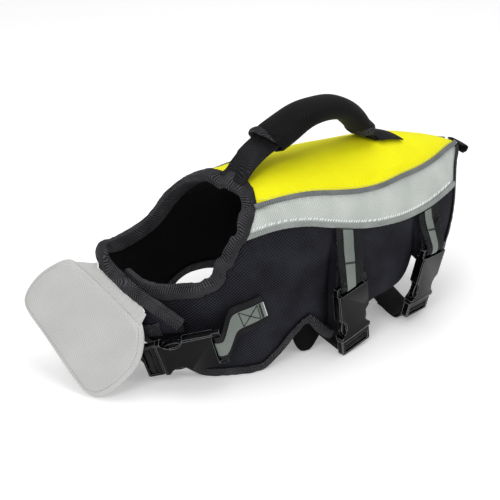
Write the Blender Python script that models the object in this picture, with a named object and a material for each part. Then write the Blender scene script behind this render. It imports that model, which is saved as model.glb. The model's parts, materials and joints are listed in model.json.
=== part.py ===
"""Dog life jacket, size medium, standing by itself with every buckle fastened.

The jacket is a padded shell that is open below. The dog's head is at -Y, its left side at +X.
All sizes are in millimetres and MM turns them into Blender's metres.
"""

import math

import bmesh
import bpy
from mathutils import Matrix
import numpy as np

MM = 0.001

# ---------------------------------------------------------------- driving sizes
FOAM = 10.0  # flotation foam with its two cover cloths
SEWN_EDGE = 2.8  # the same layers where they are stitched flat
SEWN_SEAM = 5.0  # the quilted seam between two foam chambers
EDGE_FADE = 20.0  # how far the foam takes to rise from a bound edge
SEAM_FADE = 13.0  # how far it takes from a quilted seam
GAP = 0.3  # air left between neighbouring pieces
TAPE = 1.0  # woven binding tape
SLACK = 1.15  # air between the tape and the rounded foam under it
SEAM_AIR = 0.9  # between the points of two sewn edges, which leaves GAP between their facets
BINDING_WIDTH = 16.0
ARM_BINDING_WIDTH = 12.5  # on the right arm, which lies outside the left one
HEM_BINDING_WIDTH = 12.0
FOLD = GAP + TAPE + GAP  # a bound edge stops this far short of the outside of its tape,
NECK_INSET = FOLD + 3.9  # and further where the tape bends
HEM_INSET = FOLD + 1.2
REAR_INSET = FOLD + 3.0
HEM_BINDING_START = {"left": -211.0, "right": -282.0}  # stations where the arms' hem tapes start
REAR_BINDING_WIDTH = 7.0
WEBBING = 1.8  # thickness of the webbing
WEBBING_WIDTH = 36.0
STRIPE = 0.6  # reflective stripe sewn on the webbing
PIPING_WIDTH = 6.0
PIPING_HEIGHT = 2.0
CENTRE = (-8.9, 32.5)  # brings the middle of the whole jacket to the origin

FRONT_SEAM = 55.0  # stations of the two quilted seams down each side
REAR_SEAM = 180.0
NECK_CENTRE = -60.0  # the sections ahead of this fan out around the dog's neck

# Cross-sections of the back, at the distance "station" behind the dog's shoulder.
# half: half width, ridge: height of the back, shoulder: height where the side becomes upright,
# full: 2 for an oval section and more for a squarer one,
# yellow: half width of the yellow panel, seam: height of the lower edge of the grey band
BACK_COLUMNS = ("station", "half", "ridge", "shoulder", "full", "yellow", "seam")
BACK = (
    (300, 43, 177, 30, 2, 2, 144),
    (265, 56, 189, 45, 2, 19.5, 143),
    (235, 67, 200, 62, 2, 35, 141.5),
    (200, 77, 209, 82, 2, 49, 139.5),
    (165, 82, 213, 100, 2, 57.5, 139),
    (130, 86, 213, 112, 2, 64, 142),
    (100, 88.5, 213.5, 119, 2, 66, 147),
    (75, 90, 213.5, 122, 2, 64.5, 153),
    (50, 91, 213.5, 122, 2, 61, 160),
    (25, 91, 212.5, 118, 2, 57.5, 166),
    (0, 90, 211, 108, 2.05, 55, 168),
    (-20, 88.5, 208, 96, 2.15, 53, 167),
    (-40, 86.5, 203, 80, 2.3, 51, 164),
    (-50, 85.5, 202, 76, 2.35, 50, 164),
)

# The chest arms, from above: out is measured to the arm's own side, along to the rear.
ARM_COLUMNS = ("station", "out", "along", "ridge", "shoulder", "full")
LEFT_ARM = (
    (-60, 82, -60, 202, 70, 2.15),
    (-90, 70, -87, 203, 64, 2),
    (-120, 52, -111, 203, 60, 2),
    (-150, 30, -132, 203, 60, 2),
    (-180, 4, -147, 203, 60, 2),
    (-212, -26, -155, 203, 60, 2),
)
RIGHT_ARM = (
    (-60, 87.5, -60, 207, 78, 2.4),
    (-100, 84.5, -99, 214, 90, 2.4),
    (-137, 75, -135, 215, 102, 2.4),
    (-164, 57, -162, 212, 98, 2.3),
    (-192, 30, -176, 207, 78, 2.1),
    (-220, 0, -172, 203, 62, 2),
    (-248, -26, -159, 203, 60, 2),
    (-274, -47, -140, 203, 60, 2),
    (-300, -63.5, -120.5, 203, 60, 2),
)

# Height of the neckline along each side, ahead of the grey band.
NECK_COLUMNS = ("station", "height")
LEFT_NECK = (
    (-53, 171),
    (-61, 163),
    (-70, 155),
    (-81, 144),
    (-89, 133),
    (-94, 122),
    (-106, 116),
    (-123, 114),
    (-154, 108),
    (-180, 107),
    (-212, 112),
)
RIGHT_NECK = (
    (-82, 158),
    (-87, 148),
    (-94, 139),
    (-106, 133),
    (-122, 129),
    (-140, 128),
    (-156, 131),
    (-170, 133),
    (-182, 130),
    (-196, 125),
    (-220, 117.5),
    (-248, 107),
    (-274, 94),
    (-300, 77),
)

# Where the neckline crosses the top: turn is 0 on the ridge and 1 at the upright side.
FRONT_COLUMNS = ("turn", "station")
LEFT_FRONT = ((0.0, -45), (0.10, -36), (0.22, -31.5), (0.36, -42.5), (0.447, -50), (0.55, -66))
RIGHT_FRONT = (
    (0.0, -45),
    (0.10, -50),
    (0.20, -55),
    (0.30, -60),
    (0.39, -64),
    (0.47, -70),
    (0.55, -76),
    (0.65, -82),
)
REAR_COLUMNS = ("turn", "station")
REAR = (
    (0.0, 297),
    (0.08, 297),
    (0.16, 295),
    (0.36, 279),
    (0.50, 271),
    (0.63, 264),
    (0.79, 252),
    (0.92, 239),
    (1.13, 226),
    (1.30, 212),
)

# Height of the lower edge along each side.
HEM_COLUMNS = ("station", "height")
LEFT_HEM = (
    (-212, 40),
    (-180, 34),
    (-150, 22),
    (-122, 8),
    (-100, 0),
    (-34, 0),
    (-18, 11),
    (-5, 22),
    (10, 38),
    (22, 48),
    (32, 34),
    (42, 22),
    (55, 14),
)
RIGHT_HEM = (
    (-300, 60),
    (-274, 57),
    (-248, 51),
    (-220, 41),
    (-192, 30),
    (-160, 18),
    (-130, 6),
    (-115, 0),
    (-86, 0),
    (-72, 20),
    (-58, 38),
    (-37, 48),
    (-15, 47),
    (5, 40),
    (25, 30),
    (55, 14),
)
MIDDLE_HEM = (
    (55, 10),
    (75, 12),
    (95, 30),
    (113, 47),
    (140, 51),
    (162, 58),
    (180, 84),
)
REAR_HEM = ((180, 82), (206, 60), (228, 60))

# ---------------------------------------------------------------- curves through a table


def column(names, rows, name):
    index = names.index(name)
    ordered = sorted(rows)
    return [row[0] for row in ordered], [row[index] for row in ordered]


def through(keys, values, at):
    """Smooth curve through the values that never overshoots a row."""
    if at <= keys[0]:
        return values[0]
    if at >= keys[-1]:
        return values[-1]
    i = max(k for k in range(len(keys) - 1) if keys[k] <= at)

    def rate(j):
        return (values[j + 1] - values[j]) / (keys[j + 1] - keys[j])

    def slope(j):
        if j == 0:
            return rate(0)
        if j == len(keys) - 1:
            return rate(j - 1)
        before, after = rate(j - 1), rate(j)
        if before * after <= 0:
            return 0.0
        return 2 * before * after / (before + after)

    step = keys[i + 1] - keys[i]
    t = (at - keys[i]) / step
    rise = t * t * (3 - 2 * t)
    return (
        values[i] * (1 - rise)
        + values[i + 1] * rise
        + step * slope(i) * (t**3 - 2 * t**2 + t)
        + step * slope(i + 1) * (t**3 - t**2)
    )


def curve(names, rows, name):
    keys, values = column(names, rows, name)
    return lambda at: through(keys, values, at)


# ---------------------------------------------------------------- the jacket's form


class Side:
    """One side of the shell: sign is +1 for the dog's left and -1 for its right."""

    def __init__(self, sign, shared_to, arm, neck, front, hem):
        self.sign = sign
        shared = [(row[0], row[1], row[0], row[2], row[3], row[4]) for row in BACK]
        plan = tuple(row for row in shared if row[0] >= shared_to) + arm
        self.out = curve(ARM_COLUMNS, plan, "out")
        self.along = curve(ARM_COLUMNS, plan, "along")
        self.ridge = curve(ARM_COLUMNS, plan, "ridge")
        self.shoulder = curve(ARM_COLUMNS, plan, "shoulder")
        self.full = curve(ARM_COLUMNS, plan, "full")
        self.yellow_half = curve(BACK_COLUMNS, BACK, "yellow")
        self.seam_height = curve(BACK_COLUMNS, BACK, "seam")
        self.neck_height = curve(NECK_COLUMNS, neck, "height")
        self.front_station = curve(FRONT_COLUMNS, front, "station")
        self.rear_station = curve(REAR_COLUMNS, REAR, "station")
        self.arm_hem = curve(HEM_COLUMNS, hem, "height")
        self.middle_hem = curve(HEM_COLUMNS, MIDDLE_HEM, "height")
        self.rear_hem = curve(HEM_COLUMNS, REAR_HEM, "height")
        self.arm_end = arm[-1][0]
        self.neck_start = neck[0][0]
        self.neck_turn = self.turn_at(self.neck_start, neck[0][1])
        self.bends = [row[0] for row in neck + hem] + [self.neck_start + NECK_INSET]
        self.bound = np.empty((0, 3))
        self.seams = np.empty((0, 3))

    def reach(self, station):
        """Distance from the upright wall to the middle of the section."""
        out, along = self.out(station), self.along(station)
        return math.hypot(out, along - max(along, NECK_CENTRE))

    def point(self, station, turn):
        """Outer face of the full foam. turn is 0 on the ridge, 1 at the shoulder, 2 at the floor."""
        out, along = self.out(station), self.along(station)
        middle = max(along, NECK_CENTRE)
        reach = math.hypot(out, along - middle)
        shoulder = self.shoulder(station)
        if turn <= 1:
            angle = turn * math.pi / 2
            power = 2 / self.full(station)
            radius = reach * math.sin(angle) ** power
            rise = max(math.cos(angle), 0.0) ** power
            height = shoulder + (self.ridge(station) - shoulder) * rise
        else:
            radius = reach
            height = shoulder * (2 - turn)
        share = radius / reach
        return np.array((self.sign * out * share, middle + (along - middle) * share, height))

    def normal(self, station, turn):
        """Outward direction. Near the ridge it leans evenly from one side to the other."""
        step, tilt = 0.6, 0.012
        station = min(max(station, self.arm_end + step), BACK[0][0] - step)
        if turn < tilt:
            face = self.normal(station, tilt)
            face[0] *= turn / tilt
            return face / np.linalg.norm(face)
        low, high = turn - tilt, min(turn + tilt, 2.0)
        ahead = self.point(station - step, turn) - self.point(station + step, turn)
        down = self.point(station, high) - self.point(station, low)
        face = np.cross(ahead, down) * self.sign
        return face / np.linalg.norm(face)

    def turn_at(self, station, height):
        shoulder, ridge = self.shoulder(station), self.ridge(station)
        if height <= shoulder:
            return 2 - height / shoulder
        share = min(1.0, (height - shoulder) / (ridge - shoulder))
        return math.acos(share ** (self.full(station) / 2)) / (math.pi / 2)

    def yellow_turn(self, station):
        share = min(1.0, self.yellow_half(station) / self.reach(station))
        return math.asin(share ** (self.full(station) / 2)) / (math.pi / 2)

    def seam_turn(self, station):
        return self.turn_at(station, self.seam_height(station))

    def neckline_turn(self, station):
        return self.turn_at(station, self.neck_height(station))

    def hem_turn(self, station):
        if station <= FRONT_SEAM:
            return self.turn_at(station, self.arm_hem(station))
        if station <= REAR_SEAM:
            return self.turn_at(station, self.middle_hem(station))
        return self.turn_at(station, self.rear_hem(station))

    def find_edges(self):
        """Sample the bound edges and the quilted seams, to which the foam thins out."""
        edge, seam = [], []
        for turn in np.linspace(0.0, self.neck_turn, 60):
            edge.append(self.point(self.front_station(turn), turn))
        for station in np.linspace(self.neck_start, self.arm_end, 200):
            edge.append(self.point(station, self.neckline_turn(station)))
        for turn in np.linspace(self.neckline_turn(self.arm_end), self.hem_turn(self.arm_end), 40):
            edge.append(self.point(self.arm_end, turn))
        for station in np.linspace(self.arm_end, 224.0, 500):
            edge.append(self.point(station, self.hem_turn(station)))
        for turn in np.linspace(0.0, 1.05, 100):
            edge.append(self.point(self.rear_station(turn), turn))
        for station in (FRONT_SEAM, REAR_SEAM):
            for turn in np.linspace(self.seam_turn(station) + 0.06, self.hem_turn(station), 90):
                seam.append(self.point(station, turn))
        self.bound, self.seams = np.array(edge), np.array(seam)

    def thickness(self, station, turn):
        place = self.point(station, turn)

        def rise(points, fade):
            near = np.linalg.norm(points - place, axis=1).min() / fade
            near = min(near, 1.0)
            return math.sin(near * math.pi / 2)

        thick = SEWN_EDGE + (FOAM - SEWN_EDGE) * rise(self.bound, EDGE_FADE)
        return min(thick, SEWN_SEAM + (FOAM - SEWN_SEAM) * rise(self.seams, SEAM_FADE))

    def layers(self, station, turn):
        """Outer and inner face of the padded cloth, and its outward direction."""
        place, face = self.point(station, turn), self.normal(station, turn)
        sunk = (FOAM - self.thickness(station, turn)) / 2
        return place - face * sunk, place - face * (FOAM - sunk), face

    def walk(self, station, turn, heading, distance, steps=4):
        """Go a distance over the surface, as near as can be to a heading in space."""
        for _ in range(steps):
            here = self.point(station, turn)
            by_station = self.point(station + 0.5, turn) - here
            small = 0.004 if turn + 0.004 <= 2 else -0.004
            by_turn = (self.point(station, turn + small) - here) / small
            ways = np.stack([by_station / 0.5, by_turn], axis=1)
            moved = np.linalg.lstsq(ways, heading * distance / steps, rcond=None)[0]
            station += moved[0]
            turn = min(max(turn + moved[1], 0.0), 2.0)
        return station, turn

    def offset(self, edge, first, last, distance):
        """An edge moved over the surface: down for a positive distance and up for a negative one."""
        moved = []
        for station in np.linspace(first, last, 120):
            turn = edge(station)
            ahead = self.point(station + 0.5, edge(station + 0.5)) - self.point(station, turn)
            across = np.cross(self.normal(station, turn), ahead)
            across = across / np.linalg.norm(across)
            if across[2] > 0:
                across = -across
            moved.append(self.walk(station, turn, across, distance))
        moved.sort()
        stations, turns = zip(*moved)
        return lambda station: float(np.interp(station, stations, turns))


LEFT = Side(1, -50, LEFT_ARM, LEFT_NECK, LEFT_FRONT, LEFT_HEM)
RIGHT = Side(-1, -20, RIGHT_ARM, RIGHT_NECK, RIGHT_FRONT, RIGHT_HEM)
SIDES = {"left": LEFT, "right": RIGHT}

# ---------------------------------------------------------------- making solids


def material(name, colour, roughness, metallic=0.0):
    made = bpy.data.materials.new(name)
    made.use_nodes = True
    shader = made.node_tree.nodes["Principled BSDF"]
    shader.inputs["Base Color"].default_value = (*colour, 1.0)
    shader.inputs["Roughness"].default_value = roughness
    shader.inputs["Metallic"].default_value = metallic
    return made


def add_solid(name, points, faces, look, smooth=True):
    """One closed body from points in millimetres and faces seen from outside."""
    mesh = bpy.data.meshes.new(name)
    shift = np.array((CENTRE[0], -CENTRE[1], 0.0))
    mesh.from_pydata([tuple((np.asarray(p) + shift) * MM) for p in points], [], faces)
    shell = bmesh.new()
    shell.from_mesh(mesh)
    bmesh.ops.remove_doubles(shell, verts=shell.verts, dist=1e-6)
    bmesh.ops.recalc_face_normals(shell, faces=shell.faces)
    if shell.calc_volume(signed=True) < 0:
        bmesh.ops.reverse_faces(shell, faces=shell.faces)
    shell.to_mesh(mesh)
    shell.free()
    mesh.validate()
    if smooth:
        mesh.shade_smooth()
        mesh.set_sharp_from_angle(angle=math.radians(50))
    mesh.materials.append(look)
    made = bpy.data.objects.new(name, mesh)
    bpy.context.collection.objects.link(made)
    return made


def wall(name, outer, inner, look):
    """A closed wall between two grids of points of the same size."""
    rows, columns = len(outer), len(outer[0])
    points = [p for row in outer for p in row] + [p for row in inner for p in row]
    back = rows * columns
    faces = []
    for i in range(rows - 1):
        for j in range(columns - 1):
            a, b = i * columns + j, (i + 1) * columns + j
            faces.append((a, b, b + 1, a + 1))
            faces.append((back + a, back + a + 1, back + b + 1, back + b))
    rim = [j for j in range(columns)]
    rim += [i * columns + columns - 1 for i in range(1, rows)]
    rim += [(rows - 1) * columns + j for j in range(columns - 2, -1, -1)]
    rim += [i * columns for i in range(rows - 2, 0, -1)]
    for k, a in enumerate(rim):
        b = rim[(k + 1) % len(rim)]
        faces.append((a, b, back + b, back + a))
    return add_solid(name, points, faces, look)


def sweep(name, sections, look):
    """A closed bar through sections that all have the same number of points."""
    count = len(sections[0])
    points = [p for section in sections for p in section]
    faces = []
    for i in range(len(sections) - 1):
        for j in range(count):
            a, b = i * count + j, i * count + (j + 1) % count
            faces.append((a, b, b + count, a + count))
    faces.append(tuple(range(count)))
    faces.append(tuple(reversed(range(len(points) - count, len(points)))))
    return add_solid(name, points, faces, look)


def grid_normals(grid):
    """Unit normals of a grid of points, and which way they look is up to the grid's order."""
    grid = np.array(grid)
    along = np.gradient(grid, axis=0)
    across = np.gradient(grid, axis=1)
    face = np.cross(along, across)
    return face / np.linalg.norm(face, axis=2, keepdims=True)


def smooth_path(points, count):
    """Evenly spread points on a smooth curve through the given ones."""
    points = [np.array(p, float) for p in points]
    dense = []
    for i in range(len(points) - 1):
        before = points[max(i - 1, 0)]
        after = points[min(i + 2, len(points) - 1)]
        a, b = points[i], points[i + 1]
        for t in np.linspace(0, 1, 24, endpoint=False):
            dense.append(
                0.5
                * (
                    2 * a
                    + (b - before) * t
                    + (2 * before - 5 * a + 4 * b - after) * t**2
                    + (3 * a - before - 3 * b + after) * t**3
                )
            )
    dense.append(points[-1])
    dense = np.array(dense)
    run = np.concatenate([[0], np.cumsum(np.linalg.norm(np.diff(dense[:, :3], axis=0), axis=1))])
    wanted = np.linspace(0, run[-1], count)
    return np.stack([np.interp(wanted, run, dense[:, k]) for k in range(dense.shape[1])], axis=1)


# ---------------------------------------------------------------- padded panels


def patch(front, rear, top, low, lengthwise, down):
    """Grid of (station, turn) between four edges, each a function.

    The rows lie at the shares lengthwise, from rear to front, and down, from top to low.
    """
    grid = []
    for p in lengthwise:
        row = []
        for q in down:
            station = rear(0.5) + (front(0.5) - rear(0.5)) * p
            turn = 0.5
            for _ in range(40):
                turn += 0.6 * (top(station) + (low(station) - top(station)) * q - turn)
                turn = min(max(turn, 0.0), 2.0)
                station += 0.6 * (rear(turn) + (front(turn) - rear(turn)) * p - station)
            row.append((station, turn))
        grid.append(row)
    return grid


def padded(name, side, grid, look):
    outer, inner = [], []
    for row in grid:
        layers = [side.layers(station, turn) for station, turn in row]
        outer.append([layer[0] for layer in layers])
        inner.append([layer[1] for layer in layers])
    return wall(name, outer, inner, look)


BACK_SHARES = [1 - (1 - k / 22) ** 1.5 for k in range(23)]  # rows stand closer at the neck
ARM_DOWN = [(k / 8) ** 1.35 for k in range(9)]  # and closer at the shoulder than at the hem
ROW_SPACING = 12.0
ROW_LEAST = 3.0


def arm_rows(side):
    """Stations of a chest panel's rows, one wherever an edge bends."""
    rows = [side.arm_end + FOLD]
    last = FRONT_SEAM - GAP / 2
    for bend in sorted(side.bends) + [last]:
        gap = bend - rows[-1]
        if gap < ROW_LEAST or (last - bend < ROW_LEAST and bend != last):
            continue
        parts = math.ceil(gap / ROW_SPACING)
        rows += [rows[-1] + gap * (k + 1) / parts for k in range(parts)]
    return rows


def even_shares(count):
    return [k / count for k in range(count + 1)]


def steady(value):
    return lambda _: value


def edge_inset(edge, gap):
    """The same edge moved by a gap in its own units."""
    return lambda at: edge(at) + gap


TURN_PER_MM = 0.0075  # about one millimetre down the side, in turns
SEAM_INSET = SEAM_AIR / 2 * TURN_PER_MM


def build_back(look):
    """The yellow panel, over both sides."""
    halves = {}
    for key, side in SIDES.items():
        halves[key] = patch(
            edge_inset(side.front_station, NECK_INSET),
            edge_inset(side.rear_station, -REAR_INSET),
            steady(0.0),
            edge_inset(side.yellow_turn, -SEAM_INSET),
            BACK_SHARES,
            even_shares(7),
        )
    outer, inner = [], []
    for i in range(len(halves["left"])):
        pairs = [("right", p) for p in reversed(halves["right"][i][1:])]
        pairs += [("left", p) for p in halves["left"][i]]
        layers = [SIDES[key].layers(*p) for key, p in pairs]
        outer.append([layer[0] for layer in layers])
        inner.append([layer[1] for layer in layers])
    wall("back_panel", outer, inner, look)


def build_bands(look):
    for key, side in SIDES.items():
        grid = patch(
            edge_inset(side.front_station, NECK_INSET),
            edge_inset(side.rear_station, -REAR_INSET),
            edge_inset(side.yellow_turn, SEAM_INSET),
            edge_inset(side.seam_turn, -SEAM_INSET),
            BACK_SHARES,
            even_shares(4),
        )
        padded(f"band_{key}", side, grid, look)


def build_sides(look):
    half_gap = GAP / 2
    for key, side in SIDES.items():
        top = edge_inset(side.seam_turn, SEAM_INSET)
        neck = side.offset(side.neckline_turn, side.arm_end, side.neck_start, NECK_INSET)
        hem = side.offset(side.hem_turn, side.arm_end, FRONT_SEAM, -HEM_INSET)

        def arm_top(station, side=side, top=top, neck=neck):
            if station > side.neck_start + NECK_INSET:
                return top(station)
            return max(top(station), neck(station))

        rows = arm_rows(side)
        shares = [(rows[-1] - station) / (rows[-1] - rows[0]) for station in reversed(rows)]
        arm = patch(steady(rows[0]), steady(rows[-1]), arm_top, hem, shares, ARM_DOWN)
        padded(f"chest_{key}", side, arm, look)
        middle = patch(
            steady(FRONT_SEAM + half_gap),
            steady(REAR_SEAM - half_gap),
            top,
            lambda s, side=side: side.turn_at(s, side.middle_hem(s)),
            even_shares(12),
            even_shares(8),
        )
        padded(f"side_{key}", side, middle, look)
        rear = patch(
            steady(REAR_SEAM + half_gap),
            edge_inset(side.rear_station, -REAR_INSET),
            top,
            lambda s, side=side: side.turn_at(s, side.rear_hem(s)),
            even_shares(8),
            even_shares(8),
        )
        padded(f"rear_{key}", side, rear, look)


# ---------------------------------------------------------------- bindings and piping


def bind(name, path, width_at, look, straight=False):
    """A tape folded over an edge. path holds (side, station, turn), with the panel on its left."""
    places = [side.point(station, turn) for side, station, turn in path]
    steps = [b - a for a, b in zip(places, places[1:])]
    steps = [step / np.linalg.norm(step) for step in steps]
    steps = steps[:1] + steps + steps[-1:]
    ways = [a + b for a, b in zip(steps, steps[1:])]
    ways = ways[:1] + ways + ways[-1:]
    sections = []
    for i, (side, station, turn) in enumerate(path):
        ahead = ways[i] + ways[i + 1] * 2 + ways[i + 2]
        face = side.normal(station, turn)
        inward = np.cross(face, ahead)
        inward = inward / np.linalg.norm(inward)
        width = width_at(side, station)
        distances = (FOLD, width) if straight else (FOLD, width * 0.5, width)
        rows = [side.layers(*side.walk(station, turn, inward, d)) for d in distances]
        out = [row[0] + row[2] * SLACK for row in rows]
        back = [row[1] - row[2] * SLACK for row in rows]
        norms = [row[2] for row in rows]
        tape_out = [p + n * TAPE for p, n in zip(out, norms)]
        tape_back = [p - n * TAPE for p, n in zip(back, norms)]
        fold_out = out[0] - inward * (GAP + TAPE) + norms[0] * 0.1
        fold_back = back[0] - inward * (GAP + TAPE) - norms[0] * 0.1
        section = tape_out[::-1] + [fold_out, fold_back] + tape_back
        section += back[::-1] + [back[0] - inward * GAP, out[0] - inward * GAP] + out
        sections.append(section)
    sweep(name, sections, look)


def evenly(path, count):
    """The same path in evenly spaced steps."""
    places = np.array([side.point(station, turn) for side, station, turn in path])
    run = np.concatenate([[0], np.cumsum(np.linalg.norm(np.diff(places, axis=0), axis=1))])
    return [path[int(np.abs(run - x).argmin())] for x in np.linspace(0, run[-1], count)]


def neck_path(side):
    """Along the neckline from the ridge to the end of the arm."""
    path = []
    for turn in np.linspace(0.02, side.neck_turn, 120, endpoint=False):
        path.append((side, side.front_station(turn), turn))
    for station in np.linspace(side.neck_start, side.arm_end + 1.0, 300):
        path.append((side, station, side.neckline_turn(station)))
    return path


def neck_width(side, station):
    if side is LEFT:
        return BINDING_WIDTH
    share = min(max((-station - 130) / 50, 0.0), 1.0)
    return BINDING_WIDTH + (ARM_BINDING_WIDTH - BINDING_WIDTH) * share


def build_bindings(look):
    """The panel's edge is walked with the panel on the left."""
    around = evenly(neck_path(RIGHT)[::-1] + neck_path(LEFT), 56)
    bind("neck_binding", around, neck_width, look)
    rear = {}
    for key, side in SIDES.items():
        stations = [s for s in arm_rows(side)[:-1] if s >= HEM_BINDING_START[key]]
        stations.append(FRONT_SEAM - FOLD)
        hem = [(side, s, side.hem_turn(s)) for s in stations]
        if side is RIGHT:
            hem = hem[::-1]
        bind(f"hem_binding_{key}", hem, lambda *_: HEM_BINDING_WIDTH, look, straight=True)
        turns = np.linspace(0.02, side.turn_at(225, 68), 120)
        rear[key] = [(side, side.rear_station(t), t) for t in turns]
    across = evenly(rear["left"][::-1] + rear["right"], 25)
    bind("rear_binding", across, lambda *_: REAR_BINDING_WIDTH, look, straight=True)


def clear_station(side, turn_of, station, reach):
    """The first station behind the given one where the seam is far enough from any edge."""
    while np.linalg.norm(side.bound - side.point(station, turn_of(station)), axis=1).min() < reach:
        station += 0.5
    return station


PIPING_ARCH = ((-0.5, 0.0), (-0.42, 0.7), (0.0, 1.0), (0.42, 0.7), (0.5, 0.0))
PIPING_ROWS = 34
PIPING_CROWN = 0.25  # its foot follows the panel's own curve
UPPER_PIPING_END = 286.0
LOWER_PIPING_END = 262.0  # where the rear edge is measured for the lower one


def piping(name, side, turn_of, rear_station, look):
    """A half-round cord on the outside of a seam."""
    reach = BINDING_WIDTH + PIPING_WIDTH / 2 + GAP
    front_station = clear_station(side, turn_of, side.neck_start, reach)
    sections = []
    stations = np.linspace(front_station, rear_station, PIPING_ROWS)
    places = [side.point(s, turn_of(s)) for s in stations]
    for i, station in enumerate(stations):
        ahead = places[min(i + 1, len(places) - 1)] - places[max(i - 1, 0)]
        outer, _, face = side.layers(station, turn_of(station))
        across = np.cross(ahead / np.linalg.norm(ahead), face)
        section = []
        for x, height in PIPING_ARCH:
            lift = 2 * GAP + PIPING_HEIGHT * height + PIPING_CROWN * (1 - abs(2 * x))
            section.append(outer + across * PIPING_WIDTH * x + face * lift)
        sections.append(section)
    sweep(name, sections, look)


# ---------------------------------------------------------------- webbing


def ribbon(name, rows, look, thickness=WEBBING, flip=False):
    """A flat strap from rows of points across it. It is thickened away from these points."""
    rows = np.array(rows)
    face = grid_normals(rows) * (-1 if flip else 1)
    outer = rows + face * thickness
    wall(name, outer, rows, look)
    return outer


def stripe(name, outer, first, last, low, high, look, flip=False):
    """A narrow ribbon on a strap, between rows first and last and shares low and high of it."""
    count = outer.shape[1] - 1
    rows = []
    for row in outer[first:last]:
        line = []
        for share in (low, 0.5, high):
            j = min(int(share * count), count - 1)
            t = share * count - j
            line.append(row[j] * (1 - t) + row[j + 1] * t)
        rows.append(line)
    rows = np.array(rows)
    face = grid_normals(rows) * (-1 if flip else 1)
    wall(name, rows + face * (GAP + STRIPE), rows + face * GAP, look)


def surface_row(side, height, stations, lift):
    row = []
    for station in stations:
        turn = side.turn_at(station, height)
        row.append(side.point(station, turn) + side.normal(station, turn) * lift)
    return row


def free_row(centre, across, width=WEBBING_WIDTH):
    across = np.asarray(across) / np.linalg.norm(across)
    return [np.asarray(centre) + across * width * share for share in (-0.5, 0.0, 0.5)]


def blend(first, second, share):
    return [a * (1 - share) + b * share for a, b in zip(np.array(first), np.array(second))]


# ---------------------------------------------------------------- side-release buckles

BODY = 62.0  # female body, from the parting line to its lip
SLOT = 4.0
BAR = 5.0
HALF = 24.0  # half width of the female body
THICK = 11.5
MALE = 18.5  # male base, from the parting line to its end
MALE_HALF = 22.0
MALE_BAR = (-13.0, -9.0)  # the ridged bar between its two slots


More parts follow.
